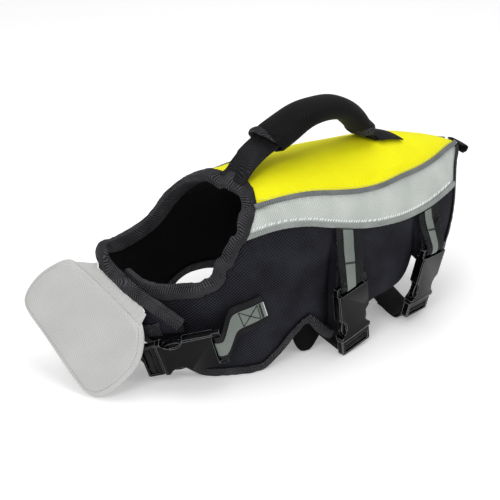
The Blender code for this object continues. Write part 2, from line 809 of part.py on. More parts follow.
class Buckle:
    """Fastened buckle. Its own x looks outward, y to the rear and z from the male end up."""

    def __init__(self, name, origin, turn, lean, roll):
        self.name = name
        self.origin = np.array(origin, float)
        about_z = Matrix.Rotation(math.radians(turn), 3, "Z")
        about_y = Matrix.Rotation(math.radians(lean), 3, "Y")
        about_x = Matrix.Rotation(math.radians(roll), 3, "X")
        self.axes = np.array(about_z @ about_y @ about_x)
        self.across = self.axes[:, 1]

    def at(self, x, z, y=0.0):
        return self.origin + self.axes @ np.array((x, y, z))

    def slab(self, outline, back, front, chamfer=0.0):
        """Points and faces of a plate with the given (y, z) outline, between two depths."""
        middle = np.mean(outline, axis=0)
        rings = [(back, chamfer), (back + chamfer, 0.0), (front - chamfer, 0.0), (front, chamfer)]
        if not chamfer:
            rings = [(back, 0.0), (front, 0.0)]
        points = []
        for depth, inset in rings:
            for y, z in outline:
                away = np.array((y, z)) - middle
                size = np.linalg.norm(away)
                y_in, z_in = np.array((y, z)) - away / size * inset
                points.append(self.at(depth, z_in, y_in))
        count = len(outline)
        faces = []
        for ring in range(len(rings) - 1):
            for j in range(count):
                a, b = ring * count + j, ring * count + (j + 1) % count
                faces.append((a, b, b + count, a + count))
        faces.append(tuple(range(count)))
        faces.append(tuple(reversed(range(len(points) - count, len(points)))))
        return points, faces

    def plate(self, name, outline, back, front, look, chamfer=0.0):
        points, faces = self.slab(outline, back, front, chamfer)
        return add_solid(name, points, faces, look, smooth=False)

    def box(self, y0, y1, z0, z1, back, front):
        outline = [(y0, z0), (y1, z0), (y1, z1), (y0, z1)]
        return self.plate("cutter", outline, back, front, None)

    def build(self, look):
        bite = [(HALF, 5.0)]
        for angle in np.linspace(-62, 62, 6):
            a = math.radians(angle)
            bite.append((HALF + 6.0 - 14.0 * math.cos(a), 17.5 + 14.0 * math.sin(a)))
        bite.append((HALF, 30.0))
        right = [(HALF - 0.5, 0.3)] + bite
        right += [(HALF, BODY + 6), (HALF - 0.8, BODY + 9.5), (HALF - 3, BODY + SLOT + BAR + 1.5)]
        outline = right + [(-y, z) for y, z in reversed(right)]
        body = self.plate(f"{self.name}_female", outline, -THICK, 0.0, look, 1.4)
        tunnel = self.box(-20.0, 20.0, -5.0, 42.0, -9.0, -3.0)
        slot = self.box(-19.2, 19.2, BODY, BODY + SLOT, -THICK - 5, 5)
        low = self.box(-30, 30, BODY + 1.0, BODY + 20, -3.2, 5)
        high = self.box(-30, 30, BODY + 1.0, BODY + 20, -THICK - 5, -8.6)
        cut(body, [tunnel, slot, low, high])
        right = [(15.0, -6.5), (15.6, 6.0), (19.2, 10.0), (20.8, 14.0), (21.2, 18.0), (20.4, 23.0)]
        right += [(18.4, 29.0), (17.0, 37.0), (13.8, 37.0), (14.6, 27.0), (13.6, 17.0), (11.2, 8.0)]
        right += [(9.5, -2.5)]
        outline = right + [(-y, z) for y, z in reversed(right)]
        male = self.plate(f"{self.name}_male", outline, -8.7, -3.3, look)
        shell = [(MALE_HALF, -MALE), (MALE_HALF + 1.2, -MALE + 2), (MALE_HALF + 1.2, -0.2)]
        shell += [(-y, z) for y, z in reversed(shell)]
        block = self.plate("cutter", shell, -10.3, -1.7, None, 1.0)
        cut(male, [block], "UNION")
        end_slot = self.box(-19.2, 19.2, MALE_BAR[0] - 3.2, MALE_BAR[0], -20, 5)
        near_slot = self.box(-19.2, 19.2, MALE_BAR[1], MALE_BAR[1] + 3.2, -20, 5)
        thin = self.box(-18.9, 18.9, MALE_BAR[0] - 1, MALE_BAR[1] + 1, -3.9, 5)
        deep = self.box(-18.9, 18.9, MALE_BAR[0] - 1, MALE_BAR[1] + 1, -20, -8.1)
        cut(male, [end_slot, near_slot, thin, deep])

    def bar_rows(self):
        """The strap's inner face round the female end bar, from in front to behind."""
        top, edge = BODY + SLOT + BAR + 1.5, BODY + SLOT
        path = [(-2.9, top), (-2.9, edge), (-3.2, edge - 0.3), (-5.9, edge - 0.4)]
        path += [(-8.6, edge - 0.3), (-8.9, edge), (-8.9, top)]
        return [self.row(x, z) for x, z in path]

    def row(self, x, z, across=None):
        return free_row(self.at(x, z), self.across if across is None else across)

    def ladder_rows(self):
        """The strap's inner face up behind the base, round the ridged bar and down again."""
        low, high = MALE_BAR
        path = [(-12.5, low - 4.2), (-12.2, low - 2.2), (-10.8, low - 0.8), (-8.8, low - 0.3)]
        path += [(-3.9, low - 0.3), (-3.6, low), (-3.6, high), (-3.9, high + 0.3)]
        path += [(-10.4, high + 0.3), (-12.2, high - 0.6), (-12.9, high - 2.4), (-13.2, low - 4.2)]
        return [self.row(x, z) for x, z in path]


def cut(target, cutters, operation="DIFFERENCE"):
    bpy.context.view_layer.objects.active = target
    for cutter in cutters:
        change = target.modifiers.new("cut", "BOOLEAN")
        change.operation = operation
        change.solver = "EXACT"
        change.object = cutter
        bpy.ops.object.modifier_apply(modifier=change.name)
        bpy.data.objects.remove(cutter, do_unlink=True)


# name, the outer face at the parting line, then turns about z, y and x in degrees
FRONT_BUCKLE = ("front_buckle", (56.0, -147.8, 32.9), -28.0, 14.0, -76.6)
MIDDLE_BUCKLE = ("middle_buckle", (105.4, 80.0, 21.5), 13.0, -0.6, 7.4)
REAR_BUCKLE = ("rear_buckle", (88.0, 186.0, 26.0), 19.0, 8.5, -8.0)


# buckle, the left half's first station, its tack's height and its stripe's shares of the width,
# then the right half's first station and the height where it leaves the panel
BODY_STRAPS = (
    ("middle", 57.0, 119.0, (0.24, 0.62), 58.0, 14.0),
    ("rear", 182.5, 118.0, (0.26, 0.58), 182.5, 82.0),
)
TACK_CLEAR = 7.0  # from the last flat row of a side strap down to its tack
BELLY_STRIPE = (0.26, 0.74)
BELLY_STRIPE_ROWS = 5
BELLY_CORNER = ((1.0, 0.55, 0.0), (5.0, 0.26, 0.0), (11.0, 0.1, 1.2))  # inward, share of height, lift
BELLY_FLAT = (-45.0, 0.0, 45.0)
BELLY_TAIL = ((-7.6, 0.5), (-22.0, 0.4), (-40.0, 0.4))  # the spare end, from the ladder, and its lift
CHEST_LEFT = ((-34, 83.5), (-43, 80.8), (-52, 78), (-61, 75), (-70, 71.5))  # station and height
CHEST_LEFT_TACK = -66  # behind this station the strap's spare end lies under it
CHEST_RIGHT = ((-196, 56), (-208, 60), (-220, 61), (-232, 60))
CHEST_STRIPE = (0.22, 0.78)


def under_piping(side, stations):
    """The height where a strap starts, just below the lower piping."""
    return min(side.seam_height(station) for station in stations) - PIPING_WIDTH / 2 - 1.2


def side_strap(name, buckle, stations, tack, stripe_shares, cloth, shiny):
    """Webbing sewn under the lower piping, tacked below it and looped through the female end."""
    top = under_piping(LEFT, stations)
    rows = []
    for height in np.linspace(top, tack + TACK_CLEAR, 5):
        rows.append(surface_row(LEFT, height, stations, 2 * GAP))
    rows.append(surface_row(LEFT, tack, stations, GAP + WEBBING + 0.4))
    bar = buckle.bar_rows()
    start = rows[-1]
    for share in (0.35, 0.7):
        rows.append(blend(start, bar[0], share))
    front_rows = len(rows) + 3
    rows += bar
    behind = surface_row(LEFT, tack - 3, stations, GAP + WEBBING + 0.1)
    rows.append(blend(bar[-1], behind, 0.55))
    rows.append(behind)
    outer = ribbon(name, rows, cloth)
    stripe(f"{name}_stripe", outer, 0, front_rows, *stripe_shares, shiny)


TAIL_GAP = 1.3  # between a strap and its own spare end


def belly_strap(name, buckle, stations, low, cloth, shiny):
    """Webbing on the right side down to a height, flat under the belly and up to the male end."""
    top = under_piping(RIGHT, stations)
    rows = []
    for height in np.linspace(top, low, 7):
        rows.append(surface_row(RIGHT, height, stations, 3 * GAP))
    side_x = rows[-1][1][0]
    ladder = buckle.ladder_rows()
    y = ladder[0][1][1]
    along = (0.0, 1.0, 0.0)
    right_y = rows[-1][1][1]
    for inward, share, lift in BELLY_CORNER:
        rows.append(free_row((side_x + inward, right_y, low * share + lift), along))
    rows.append(free_row((side_x + 19.0, right_y, WEBBING), along))
    for x in BELLY_FLAT:
        share = (x + 50) / 100
        rows.append(free_row((x, right_y + (y - right_y) * share, WEBBING), along))
    first = ladder[0][1]
    rows.append(free_row((first[0] - 14.0, y, WEBBING), along))
    rows.append(free_row((first[0] - 6.0, y, WEBBING), along))
    near = (first[0] - 3.0, y, WEBBING + 0.7)
    rows.append(blend(free_row(near, along), free_row(near, buckle.across), 0.3))
    rows += ladder
    last = ladder[-1][1]
    rows.append(free_row((last[0] - 3.8, y, WEBBING + 1.6), blend(along, buckle.across, 0.3)))
    for away, lift in BELLY_TAIL:
        rows.append(free_row((last[0] + away, y, WEBBING + lift), along))
    outer = ribbon(name, rows, cloth, flip=True)
    stripe(f"{name}_stripe", outer, 0, BELLY_STRIPE_ROWS, *BELLY_STRIPE, shiny, flip=True)


def chest_straps(buckle, cloth, shiny):
    """The front buckle's two straps: one sewn to the left shoulder, one to the right arm."""
    rows = []
    for station, height in CHEST_LEFT:
        turn = LEFT.turn_at(station, height)
        centre = LEFT.point(station, turn)
        face = LEFT.normal(station, turn)
        ahead = LEFT.point(station - 4, LEFT.turn_at(station - 4, height - 1.3)) - centre
        down = np.cross(face, ahead)
        lift = GAP if station > CHEST_LEFT_TACK else GAP + WEBBING
        rows.append(free_row(centre + face * (lift + 0.5), down))
    bar = buckle.bar_rows()
    for share in (0.33, 0.66):
        rows.append(blend(rows[-1], bar[0], share))
    front_rows = len(rows) + 3
    rows += bar
    outer = ribbon("chest_strap_left", rows, cloth)
    stripe("chest_strap_left_stripe", outer, 0, front_rows, *CHEST_STRIPE, shiny)
    ladder = buckle.ladder_rows()
    rows = []
    for station, height in CHEST_RIGHT:
        turn = RIGHT.turn_at(station, height)
        centre = RIGHT.point(station, turn) + RIGHT.normal(station, turn) * (SLACK + TAPE + GAP)
        rows.append(free_row(centre, (0.0, 0.0, -1.0)))
    start = rows[-1]
    rows.append(blend(start, ladder[0], 0.3))
    rows.append(blend(start, ladder[0], 0.7))
    entry = len(rows) - 1
    rows += ladder
    behind = grid_normals(rows)[entry]
    rows.append(rows[entry] + behind * TAIL_GAP)
    ribbon("chest_strap_right", rows, cloth, flip=True)


# ---------------------------------------------------------------- chin float

FLOAT_THICK = 9.0
FLOAT_FORWARD = 0.8  # of the crease's own plane
# depth and inset of its rings: three at the back face's edge, then three from the front face
FLOAT_RINGS = ((2.6, 0.0), (0.6, 1.5), (0.0, 11.0), (9.0, 11.0), (8.2, 4.0), (5.0, 0.4))
STRIP_FIRST, STRIP_RUN = -178.0, -82.0  # stations of the strip's upper edge
STRIP_THICK = 2.0
FLOAT_LEFT = (-42.7, -187.4, 114.4)  # ends of the crease above it
FLOAT_RIGHT = (34.0, -159.6, 81.8)
FLOAT_LOW = (38.0, -218.0, 4.0)
# Outline from the crease, clockwise: along the crease and down from it.
FLOAT_OUTLINE = (
    (-6, 0),
    (96, 0),
    (109, 16),
    (118, 31),
    (121, 44),
    (118.5, 66),
    (114, 83),
    (105, 94),
    (91, 99),
    (52, 91),
    (18, 84.5),
    (-24, 74),
    (-33, 66),
    (-37, 52),
    (-35, 32),
    (-26, 12),
    (-16, 2),
)


def build_float(look):
    left, right, low = (np.array(p) for p in (FLOAT_LEFT, FLOAT_RIGHT, FLOAT_LOW))
    along = (right - left) / np.linalg.norm(right - left)
    face = np.cross(along, low - left)
    face = face / np.linalg.norm(face)
    if face[1] > 0:
        face = -face
    down = np.cross(along, face)
    if down[2] > 0:
        down = -down

    def at(x, y, z):
        return left + along * x + down * y + face * z

    middle = np.mean(FLOAT_OUTLINE, axis=0)
    rings = []
    for depth, inset in FLOAT_RINGS:
        ring = []
        for p in FLOAT_OUTLINE:
            away = np.array(p) - middle
            x, y = np.array(p) - away / np.linalg.norm(away) * inset
            ring.append(at(x, y, depth - FLOAT_THICK / 2 + FLOAT_FORWARD))
        rings.append(ring)
    count = len(FLOAT_OUTLINE)
    points = [p for ring in rings for p in ring]
    faces = []
    order = (2, 1, 0, 5, 4, 3)  # from the back face round the edge to the front face
    for first, second in zip(order, order[1:]):
        for j in range(count):
            k = (j + 1) % count
            faces.append((first * count + j, first * count + k, second * count + k, second * count + j))
    faces.append(tuple(2 * count + j for j in range(count)))
    faces.append(tuple(3 * count + j for j in reversed(range(count))))
    add_solid("chin_float", points, faces, look)
    rows = []
    for share in np.linspace(0.0, 1.0, 9):
        station = STRIP_FIRST + STRIP_RUN * share
        height = RIGHT.neck_height(station) - ARM_BINDING_WIDTH * 1.12 - 1.5
        turn = RIGHT.turn_at(station, height)
        top = RIGHT.point(station, turn) + RIGHT.normal(station, turn) * STRIP_THICK
        crease = at(-2 + 97 * share, -1.4, 1.8)
        rows.append([top, top * 0.66 + crease * 0.34, top * 0.33 + crease * 0.67, crease])
    ribbon("float_strip", rows, look, STRIP_THICK)


# ---------------------------------------------------------------- handle

# The strap's middle above the back (x, y, z), then which way its width points (x, y, z).
HANDLE = (
    (10.0, -17.5, 216.6, 0.95, 0.29, -0.03),
    (9.5, -8.3, 225.0, 0.95, 0.28, -0.10),
    (8.5, 3.5, 232.5, 0.92, 0.37, -0.10),
    (7.5, 16.0, 238.3, 0.91, 0.39, -0.17),
    (6.0, 37.8, 247.9, 0.93, 0.33, -0.20),
    (5.0, 63.9, 259.6, 0.96, 0.20, -0.12),
    (4.0, 96.0, 261.6, 0.98, 0.12, -0.05),
    (3.5, 117.0, 256.3, 0.98, 0.14, -0.05),
    (3.0, 131.5, 245.0, 0.97, 0.20, 0.0),
    (2.5, 141.5, 233.5, 0.95, 0.26, 0.0),
    (2.0, 146.0, 226.5, 0.94, 0.30, 0.0),
    (1.2, 149.5, 219.0, 0.94, 0.34, 0.0),
)
HANDLE_WIDTH = 35.0
FRONT_TACK = ((10.0, -31.0), (10.0, -24.5))  # where the strap lies on the neck binding
FRONT_TACK_WAY = (0.96, 0.25)
REAR_TACK = ((0.0, 153.5), (0.0, 163.0), (0.0, 172.0))  # and where it lies on the yellow cloth
REAR_TACK_WAY = (0.94, 0.34)
TACK_LIFT = 1.2  # the flat strap bridges the rounded back
PATCH_LIFT = TACK_LIFT + WEBBING + 2 * GAP
PATCH_TIP_LIFT = 0.8
PATCH_THICK = 1.5
HANDLE_ROWS = 20
SLEEVE_ROWS = (3, 10)  # rows of the handle between which the sleeve lies
SLEEVE_COLUMNS = ("share", "half_width", "half_height")
SLEEVE = (
    (0.0, 24.5, 11.0),
    (0.15, 23.5, 13.0),
    (0.5, 22.0, 14.0),
    (0.85, 21.7, 13.0),
    (1.0, 21.7, 11.0),
)
SLEEVE_WALL = 2.5
SLEEVE_SIDES = 14
PATCH_LEFT, PATCH_RIGHT = 20.0, -17.0  # the patch over the strap's end, with its point at the rear
PATCH_FRONT = (164.0, 151.5)
PATCH_REAR = (197.5, 179.0)


def on_back(x, y, lift):
    """A point above the back panel's outer face."""
    side = LEFT if x >= 0 else RIGHT
    share = min(1.0, abs(x) / side.reach(y))
    turn = math.asin(share ** (side.full(y) / 2)) / (math.pi / 2)
    outer, _, face = side.layers(y, turn)
    return outer + face * lift


def tack_row(place, way, lift):
    """A row of the handle's strap where it is sewn down."""
    ends = (-0.5, 0.0, 0.5)
    reach = HANDLE_WIDTH / math.hypot(*way)
    return [on_back(place[0] + way[0] * reach * s, place[1] + way[1] * reach * s, lift) for s in ends]


def build_handle(cloth, foam):
    """The strap is sewn on the neck binding, runs through the sleeve and ends on the back."""
    over_binding = SLACK + TAPE + 1.0
    rows = [tack_row(place, FRONT_TACK_WAY, over_binding) for place in FRONT_TACK]
    for p in smooth_path(HANDLE, HANDLE_ROWS):
        rows.append(free_row(p[:3], p[3:], HANDLE_WIDTH))
    rows += [tack_row(place, REAR_TACK_WAY, TACK_LIFT) for place in REAR_TACK]
    ribbon("handle_strap", [row[::-1] for row in rows], cloth)
    half_width = curve(SLEEVE_COLUMNS, SLEEVE, "half_width")
    half_height = curve(SLEEVE_COLUMNS, SLEEVE, "half_height")
    path = smooth_path(HANDLE[SLEEVE_ROWS[0] : SLEEVE_ROWS[1] + 1], 13)
    ahead = np.gradient(path[:, :3], axis=0)
    outer, inner = [], []
    for i, row in enumerate(path):
        way = ahead[i] / np.linalg.norm(ahead[i])
        side = row[3:] / np.linalg.norm(row[3:])
        up = np.cross(side, way)
        up = up / np.linalg.norm(up)
        place = row[:3] + up * WEBBING / 2
        share = i / (len(path) - 1)
        width, height = half_width(share), half_height(share)
        ring_out, ring_in = [], []
        for angle in np.linspace(0, 2 * math.pi, SLEEVE_SIDES, endpoint=False):
            x, z = math.cos(angle), math.sin(angle)
            ring_out.append(place + side * width * x + up * height * z)
            x_in, z_in = (width - SLEEVE_WALL) * x, (height - SLEEVE_WALL) * z
            ring_in.append(place + side * x_in + up * z_in)
        outer.append(ring_out)
        inner.append(ring_in)
    tube("handle_sleeve", outer, inner, foam)
    rows = []
    for q in np.linspace(0, 1, 5):
        row = []
        for x in np.linspace(PATCH_RIGHT, PATCH_LEFT, 5):
            share = (x - PATCH_RIGHT) / (PATCH_LEFT - PATCH_RIGHT)
            front = PATCH_FRONT[1] + (PATCH_FRONT[0] - PATCH_FRONT[1]) * share
            rear = PATCH_REAR[1] + (PATCH_REAR[0] - PATCH_REAR[1]) * share
            lift = PATCH_TIP_LIFT + (PATCH_LIFT - PATCH_TIP_LIFT) * min(1.0, 2.2 - 2.2 * q)
            row.append(on_back(x, front + (rear - front) * q, lift))
        rows.append(row[::-1])
    ribbon("handle_patch", rows, cloth, PATCH_THICK)


def tube(name, outer, inner, look):
    """A hollow tube, open at both ends."""
    count, length = len(outer[0]), len(outer)
    points = [p for ring in outer for p in ring] + [p for ring in inner for p in ring]
    back = count * length
    faces = []
    for i in range(length - 1):
        for j in range(count):
            a, b = i * count + j, i * count + (j + 1) % count
            faces.append((a, b, b + count, a + count))
            faces.append((back + a, back + a + count, back + b + count, back + b))
    for i in (0, length - 1):
        for j in range(count):
            a, b = i * count + j, i * count + (j + 1) % count
            faces.append((a, b, back + b, back + a))
    return add_solid(name, points, faces, look)


# ---------------------------------------------------------------- tail loop and inner flap

TAIL_HALF = 10.0
TAIL_TACK = (291.0, 297.0)
TAIL_FOLD = ((305.5, 171.5), (307.5, 168.5), (306.0, 165.3), (300.5, 164.2))  # y and z of the fold

FLAP_INSET = 12.0  # the flap hangs this far inside the chest panel's outer face
FLAP_THICK = 5.0
FLAP_TOP = 56.0
FLAP_COLUMNS = ("station", "height")
FLAP = ((10, 22), (16, 9), (24, 1.5), (32, 1.5), (40, 9), (47, 20), (53, 30))


def build_tail_loop(cloth):
    """A folded tab of webbing on the rear tip."""
    ends = (TAIL_HALF, 0.0, -TAIL_HALF)
    rows = [[on_back(x, y, SLACK + TAPE + 1.0) for x in ends] for y in TAIL_TACK]
    rows += [[(x, y, z) for x in ends] for y, z in TAIL_FOLD]
    ribbon("tail_loop", rows, cloth)


def build_flap(look):
    """The rounded lower corner of the inner layer, which shows in the left leg's notch."""
    low_of = curve(FLAP_COLUMNS, FLAP, "height")
    outer, inner = [], []
    for station in np.linspace(FLAP[-1][0], FLAP[0][0], 10):
        rows = ([], [])
        for share in np.linspace(0, 1, 5):
            height = FLAP_TOP + (low_of(station) - FLAP_TOP) * share
            turn = LEFT.turn_at(station, height)
            place, face = LEFT.point(station, turn), LEFT.normal(station, turn)
            rows[0].append(place - face * FLAP_INSET)
            rows[1].append(place - face * (FLAP_INSET + FLAP_THICK))
        outer.append(rows[0])
        inner.append(rows[1])
    wall("inner_flap", outer, inner, look)


# ---------------------------------------------------------------- scene


def clear_scene():
    for thing in list(bpy.data.objects):
        bpy.data.objects.remove(thing, do_unlink=True)


def main():
    clear_scene()
    for side in SIDES.values():
        side.find_edges()
    yellow = material("neon_yellow_cloth", (0.87, 0.85, 0.02), 0.75)
    grey = material("silver_grey_cloth", (0.55, 0.58, 0.56), 0.6)
    black = material("black_oxford_cloth", (0.02, 0.021, 0.026), 0.8)
    tape = material("black_ribbed_tape", (0.015, 0.015, 0.017), 0.85)
    dark_piping = material("dark_grey_piping", (0.13, 0.14, 0.145), 0.5)
    light_piping = material("light_grey_piping", (0.3, 0.32, 0.31), 0.5)
    webbing = material("black_webbing", (0.014, 0.014, 0.016), 0.8)
    reflective = material("reflective_stripe", (0.26, 0.28, 0.27), 0.4)
    plastic = material("black_plastic", (0.01, 0.01, 0.012), 0.35)
    neoprene = material("black_neoprene", (0.02, 0.02, 0.022), 0.9)
    float_cloth = material("grey_float_cloth", (0.56, 0.57, 0.56), 0.6)
    build_back(yellow)
    build_bands(grey)
    build_sides(black)
    build_bindings(tape)
    for key, side in SIDES.items():
        piping(f"upper_piping_{key}", side, side.yellow_turn, UPPER_PIPING_END, dark_piping)
        edge = side.rear_station(side.seam_turn(LOWER_PIPING_END))
        piping(f"lower_piping_{key}", side, side.seam_turn, edge - REAR_BINDING_WIDTH - 3, light_piping)
    buckles = {row[0]: Buckle(*row) for row in (FRONT_BUCKLE, MIDDLE_BUCKLE, REAR_BUCKLE)}
    for buckle in buckles.values():
        buckle.build(plastic)
    across = np.linspace(0, WEBBING_WIDTH, 3)
    for which, left, tack, shares, right, low in BODY_STRAPS:
        buckle = buckles[f"{which}_buckle"]
        side_strap(f"{which}_strap", buckle, left + across, tack, shares, webbing, reflective)
        belly_strap(f"{which}_belly_strap", buckle, right + across, low, webbing, reflective)
    chest_straps(buckles["front_buckle"], webbing, reflective)
    build_float(float_cloth)
    build_handle(webbing, neoprene)
    build_tail_loop(webbing)
    build_flap(black)


main()
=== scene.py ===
import heapq
import json
import math

import bpy
import numpy as np
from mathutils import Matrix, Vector
from mathutils.bvhtree import BVHTree

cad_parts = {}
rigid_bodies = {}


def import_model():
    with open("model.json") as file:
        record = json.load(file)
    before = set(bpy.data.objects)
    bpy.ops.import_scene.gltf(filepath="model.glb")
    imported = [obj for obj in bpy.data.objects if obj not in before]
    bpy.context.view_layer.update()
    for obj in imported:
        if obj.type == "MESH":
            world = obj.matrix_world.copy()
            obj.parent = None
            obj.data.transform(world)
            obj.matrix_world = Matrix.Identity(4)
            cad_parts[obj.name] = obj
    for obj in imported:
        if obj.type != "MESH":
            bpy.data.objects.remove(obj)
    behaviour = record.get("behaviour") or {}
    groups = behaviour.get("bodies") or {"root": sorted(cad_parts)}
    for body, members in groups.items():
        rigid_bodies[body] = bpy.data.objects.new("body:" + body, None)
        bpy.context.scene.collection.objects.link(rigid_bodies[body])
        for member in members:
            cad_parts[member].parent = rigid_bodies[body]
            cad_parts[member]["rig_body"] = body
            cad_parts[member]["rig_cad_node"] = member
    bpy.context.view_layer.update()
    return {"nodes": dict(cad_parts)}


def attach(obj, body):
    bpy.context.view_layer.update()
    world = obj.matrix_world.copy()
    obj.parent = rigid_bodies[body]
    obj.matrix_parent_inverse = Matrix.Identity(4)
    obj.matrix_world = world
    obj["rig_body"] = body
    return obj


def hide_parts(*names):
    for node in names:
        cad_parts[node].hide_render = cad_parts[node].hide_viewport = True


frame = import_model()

# A dog life jacket. Each solid is dressed in its own cloth, tape, webbing or plastic, and then sewn.
# Sizes in the dictionaries are in millimetres unless a note says more, and mm turns them into metres.

mm = 0.001
jacketAxis = np.array((-0.009, 0.0, 0.1))  # a point inside the jacket, which tells outside from inside
paths = {}  # the middle line of each long narrow piece, by its node's name

# small helpers

mending = {"merge": 0.02, "widest_turn": 70}  # the turn, in degrees, that a joined quad may hold


def makeActive(piece):
    if bpy.context.mode != "OBJECT":
        bpy.ops.object.mode_set(mode="OBJECT")
    bpy.ops.object.select_all(action="DESELECT")
    piece.select_set(True)
    bpy.context.view_layer.objects.active = piece


def copyOf(node, name):
    # a solid's mesh, with its triangles joined to quads again
    makeActive(frame["nodes"][node])
    bpy.ops.object.duplicate()
    piece = bpy.context.active_object
    piece.name = name
    piece.data.name = name
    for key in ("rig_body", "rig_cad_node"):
        del piece[key]
    bpy.ops.object.parent_clear(type="CLEAR_KEEP_TRANSFORM")
    piece.data.materials.clear()
    bpy.ops.mesh.customdata_custom_splitnormals_clear()
    bpy.ops.object.mode_set(mode="EDIT")
    bpy.ops.mesh.select_all(action="SELECT")
    bpy.ops.mesh.remove_doubles(threshold=mending["merge"] * mm)
    turn = math.radians(mending["widest_turn"])
    bpy.ops.mesh.tris_convert_to_quads(face_threshold=turn, shape_threshold=turn)
    bpy.ops.object.mode_set(mode="OBJECT")
    return piece


def applyModifier(piece, kind, **values):
    makeActive(piece)
    modifier = piece.modifiers.new("shape", kind)
    for key, value in values.items():
        setattr(modifier, key, value)
    bpy.ops.object.modifier_apply(modifier=modifier.name)


def subdivide(piece, levels, crease=1.0, sharpness=50):
    # the sewn edges stay put, and the cloth between them becomes smooth
    makeActive(piece)
    bpy.ops.object.mode_set(mode="EDIT")
    bpy.ops.mesh.select_mode(type="EDGE")
    bpy.ops.mesh.select_all(action="DESELECT")
    bpy.ops.mesh.edges_select_sharp(sharpness=math.radians(sharpness))
    bpy.ops.transform.edge_crease(value=crease)
    bpy.ops.object.mode_set(mode="OBJECT")
    applyModifier(piece, "SUBSURF", levels=levels, render_levels=levels)
    piece.data.shade_smooth()


def vectorsOf(items, key):
    # one row of three numbers for each vertex, normal or face
    flat = np.empty(len(items) * 3, np.float32)
    items.foreach_get(key, flat)
    return flat.reshape(-1, 3).astype(float)


def pointsOf(piece):
    return vectorsOf(piece.data.vertices, "co")


def normalsOf(piece):
    return vectorsOf(piece.data.vertex_normals, "vector")


def setPoints(piece, points):
    piece.data.vertices.foreach_set("co", points.astype(np.float32).ravel())
    piece.data.update()


def treeOf(piece):
    # the surface, for finding its nearest point
    return BVHTree.FromPolygons(
        [tuple(v.co) for v in piece.data.vertices], [tuple(p.vertices) for p in piece.data.polygons])


def unit(vector):
    return vector / np.linalg.norm(vector)


def smooth(share):
    # from 0 to 1, level at both ends
    share = np.clip(share, 0, 1)
    return share * share * (3 - 2 * share)


def dress(piece, material, slotName, *nodes):
    piece.data.materials.clear()
    piece.data.materials.append(material)
    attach(piece, "root")
    if nodes:
        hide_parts(*nodes)


# the middle line of a strap, tape or cord, found from its solid

# where each long piece starts, and a point further along it: x, y, z, x, y, z
starts = {
    "neck_binding": (47, -154, 72, 34, -167, 84),
    "hem_binding_left": (-33, -182, 46, -14, -177, 42),
    "hem_binding_right": (-95, 24, 20, -95, 5, 30),
    "rear_binding": (56, 196, 64, 51, 206, 87),
    "upper_piping_left": (45, -53, 190, 47, -34, 191),
    "lower_piping_left": (61, -69, 165, 63, -51, 168),
    "upper_piping_right": (-60, -74, 192, -62, -54, 190),
    "lower_piping_right": (-82, -87, 164, -82, -68, 165),
    "middle_strap": (79.6, 42.6, 144.6, 81.5, 42.6, 135.4),
    "middle_strap_stripe": (81.4, 40.2, 145.0, 83.2, 40.1, 135.6),
    "middle_belly_strap": (-97.7, 43.6, 144.4, -100.6, 43.6, 100.7),
    "middle_belly_strap_stripe": (-99.3, 43.7, 144.6, -102.1, 43.7, 100.7),
    "rear_strap": (61.5, 168.5, 135.3, 62.8, 168.5, 130.3),
    "rear_strap_stripe": (64.3, 165.9, 135.7, 65.6, 165.9, 130.7),
    "rear_belly_strap": (-79.6, 168.5, 135.4, -83.5, 168.5, 117.6),
    "rear_belly_strap_stripe": (-81.4, 168.9, 135.7, -85.4, 168.9, 117.8),
    "chest_strap_left": (80, -67, 84, 78, -85, 78),
    "chest_strap_left_stripe": (81, -67, 84, 79, -85, 78),
    "chest_strap_right": (-34, -212, 56, -8, -208, 61),
    "float_strip": (-53, -212, 116, -32, -210, 108),
    "handle_strap": (1, -64, 207, 1, -51, 217),
    "tail_loop": (-9, 259, 180, -9, 274, 172)}

firstEnd = {"near": 22, "thick": 2.5}  # the points that count as a piece's first end
unreached = 1e9


def startOf(node):
    # the start, and the way in which the piece sets off
    start, ahead = np.array(starts[node][:3]) * mm, np.array(starts[node][3:]) * mm
    return start, unit(ahead - start)


def reachOf(piece, node):
    # how far each point lies from the piece's first end, measured along the cloth
    points = pointsOf(piece)
    links = [[] for _ in points]
    for face in piece.data.polygons:
        corners = list(face.vertices)
        for i, a in enumerate(corners):
            for b in corners[i + 1:]:
                size = float(np.linalg.norm(points[a] - points[b]))
                links[a].append((size, b))
                links[b].append((size, a))
    start, way = startOf(node)
    near = np.linalg.norm(points - start, axis=1) < firstEnd["near"] * mm
    depth = (points - start) @ way
    seeds = np.nonzero(near & (depth < depth[near].min() + firstEnd["thick"] * mm))[0]
    reach = np.full(len(points), unreached)
    reach[seeds] = 0
    queue = [(0.0, int(i)) for i in seeds]
    heapq.heapify(queue)
    while queue:
        size, index = heapq.heappop(queue)
        if size > reach[index]:
            continue
        for length, other in links[index]:
            if size + length < reach[other]:
                reach[other] = size + length
                heapq.heappush(queue, (reach[other], other))
    return points, reach


def lengthsAlong(centres):
    return np.concatenate([[0], np.cumsum(np.linalg.norm(np.diff(centres, axis=0), axis=1))])


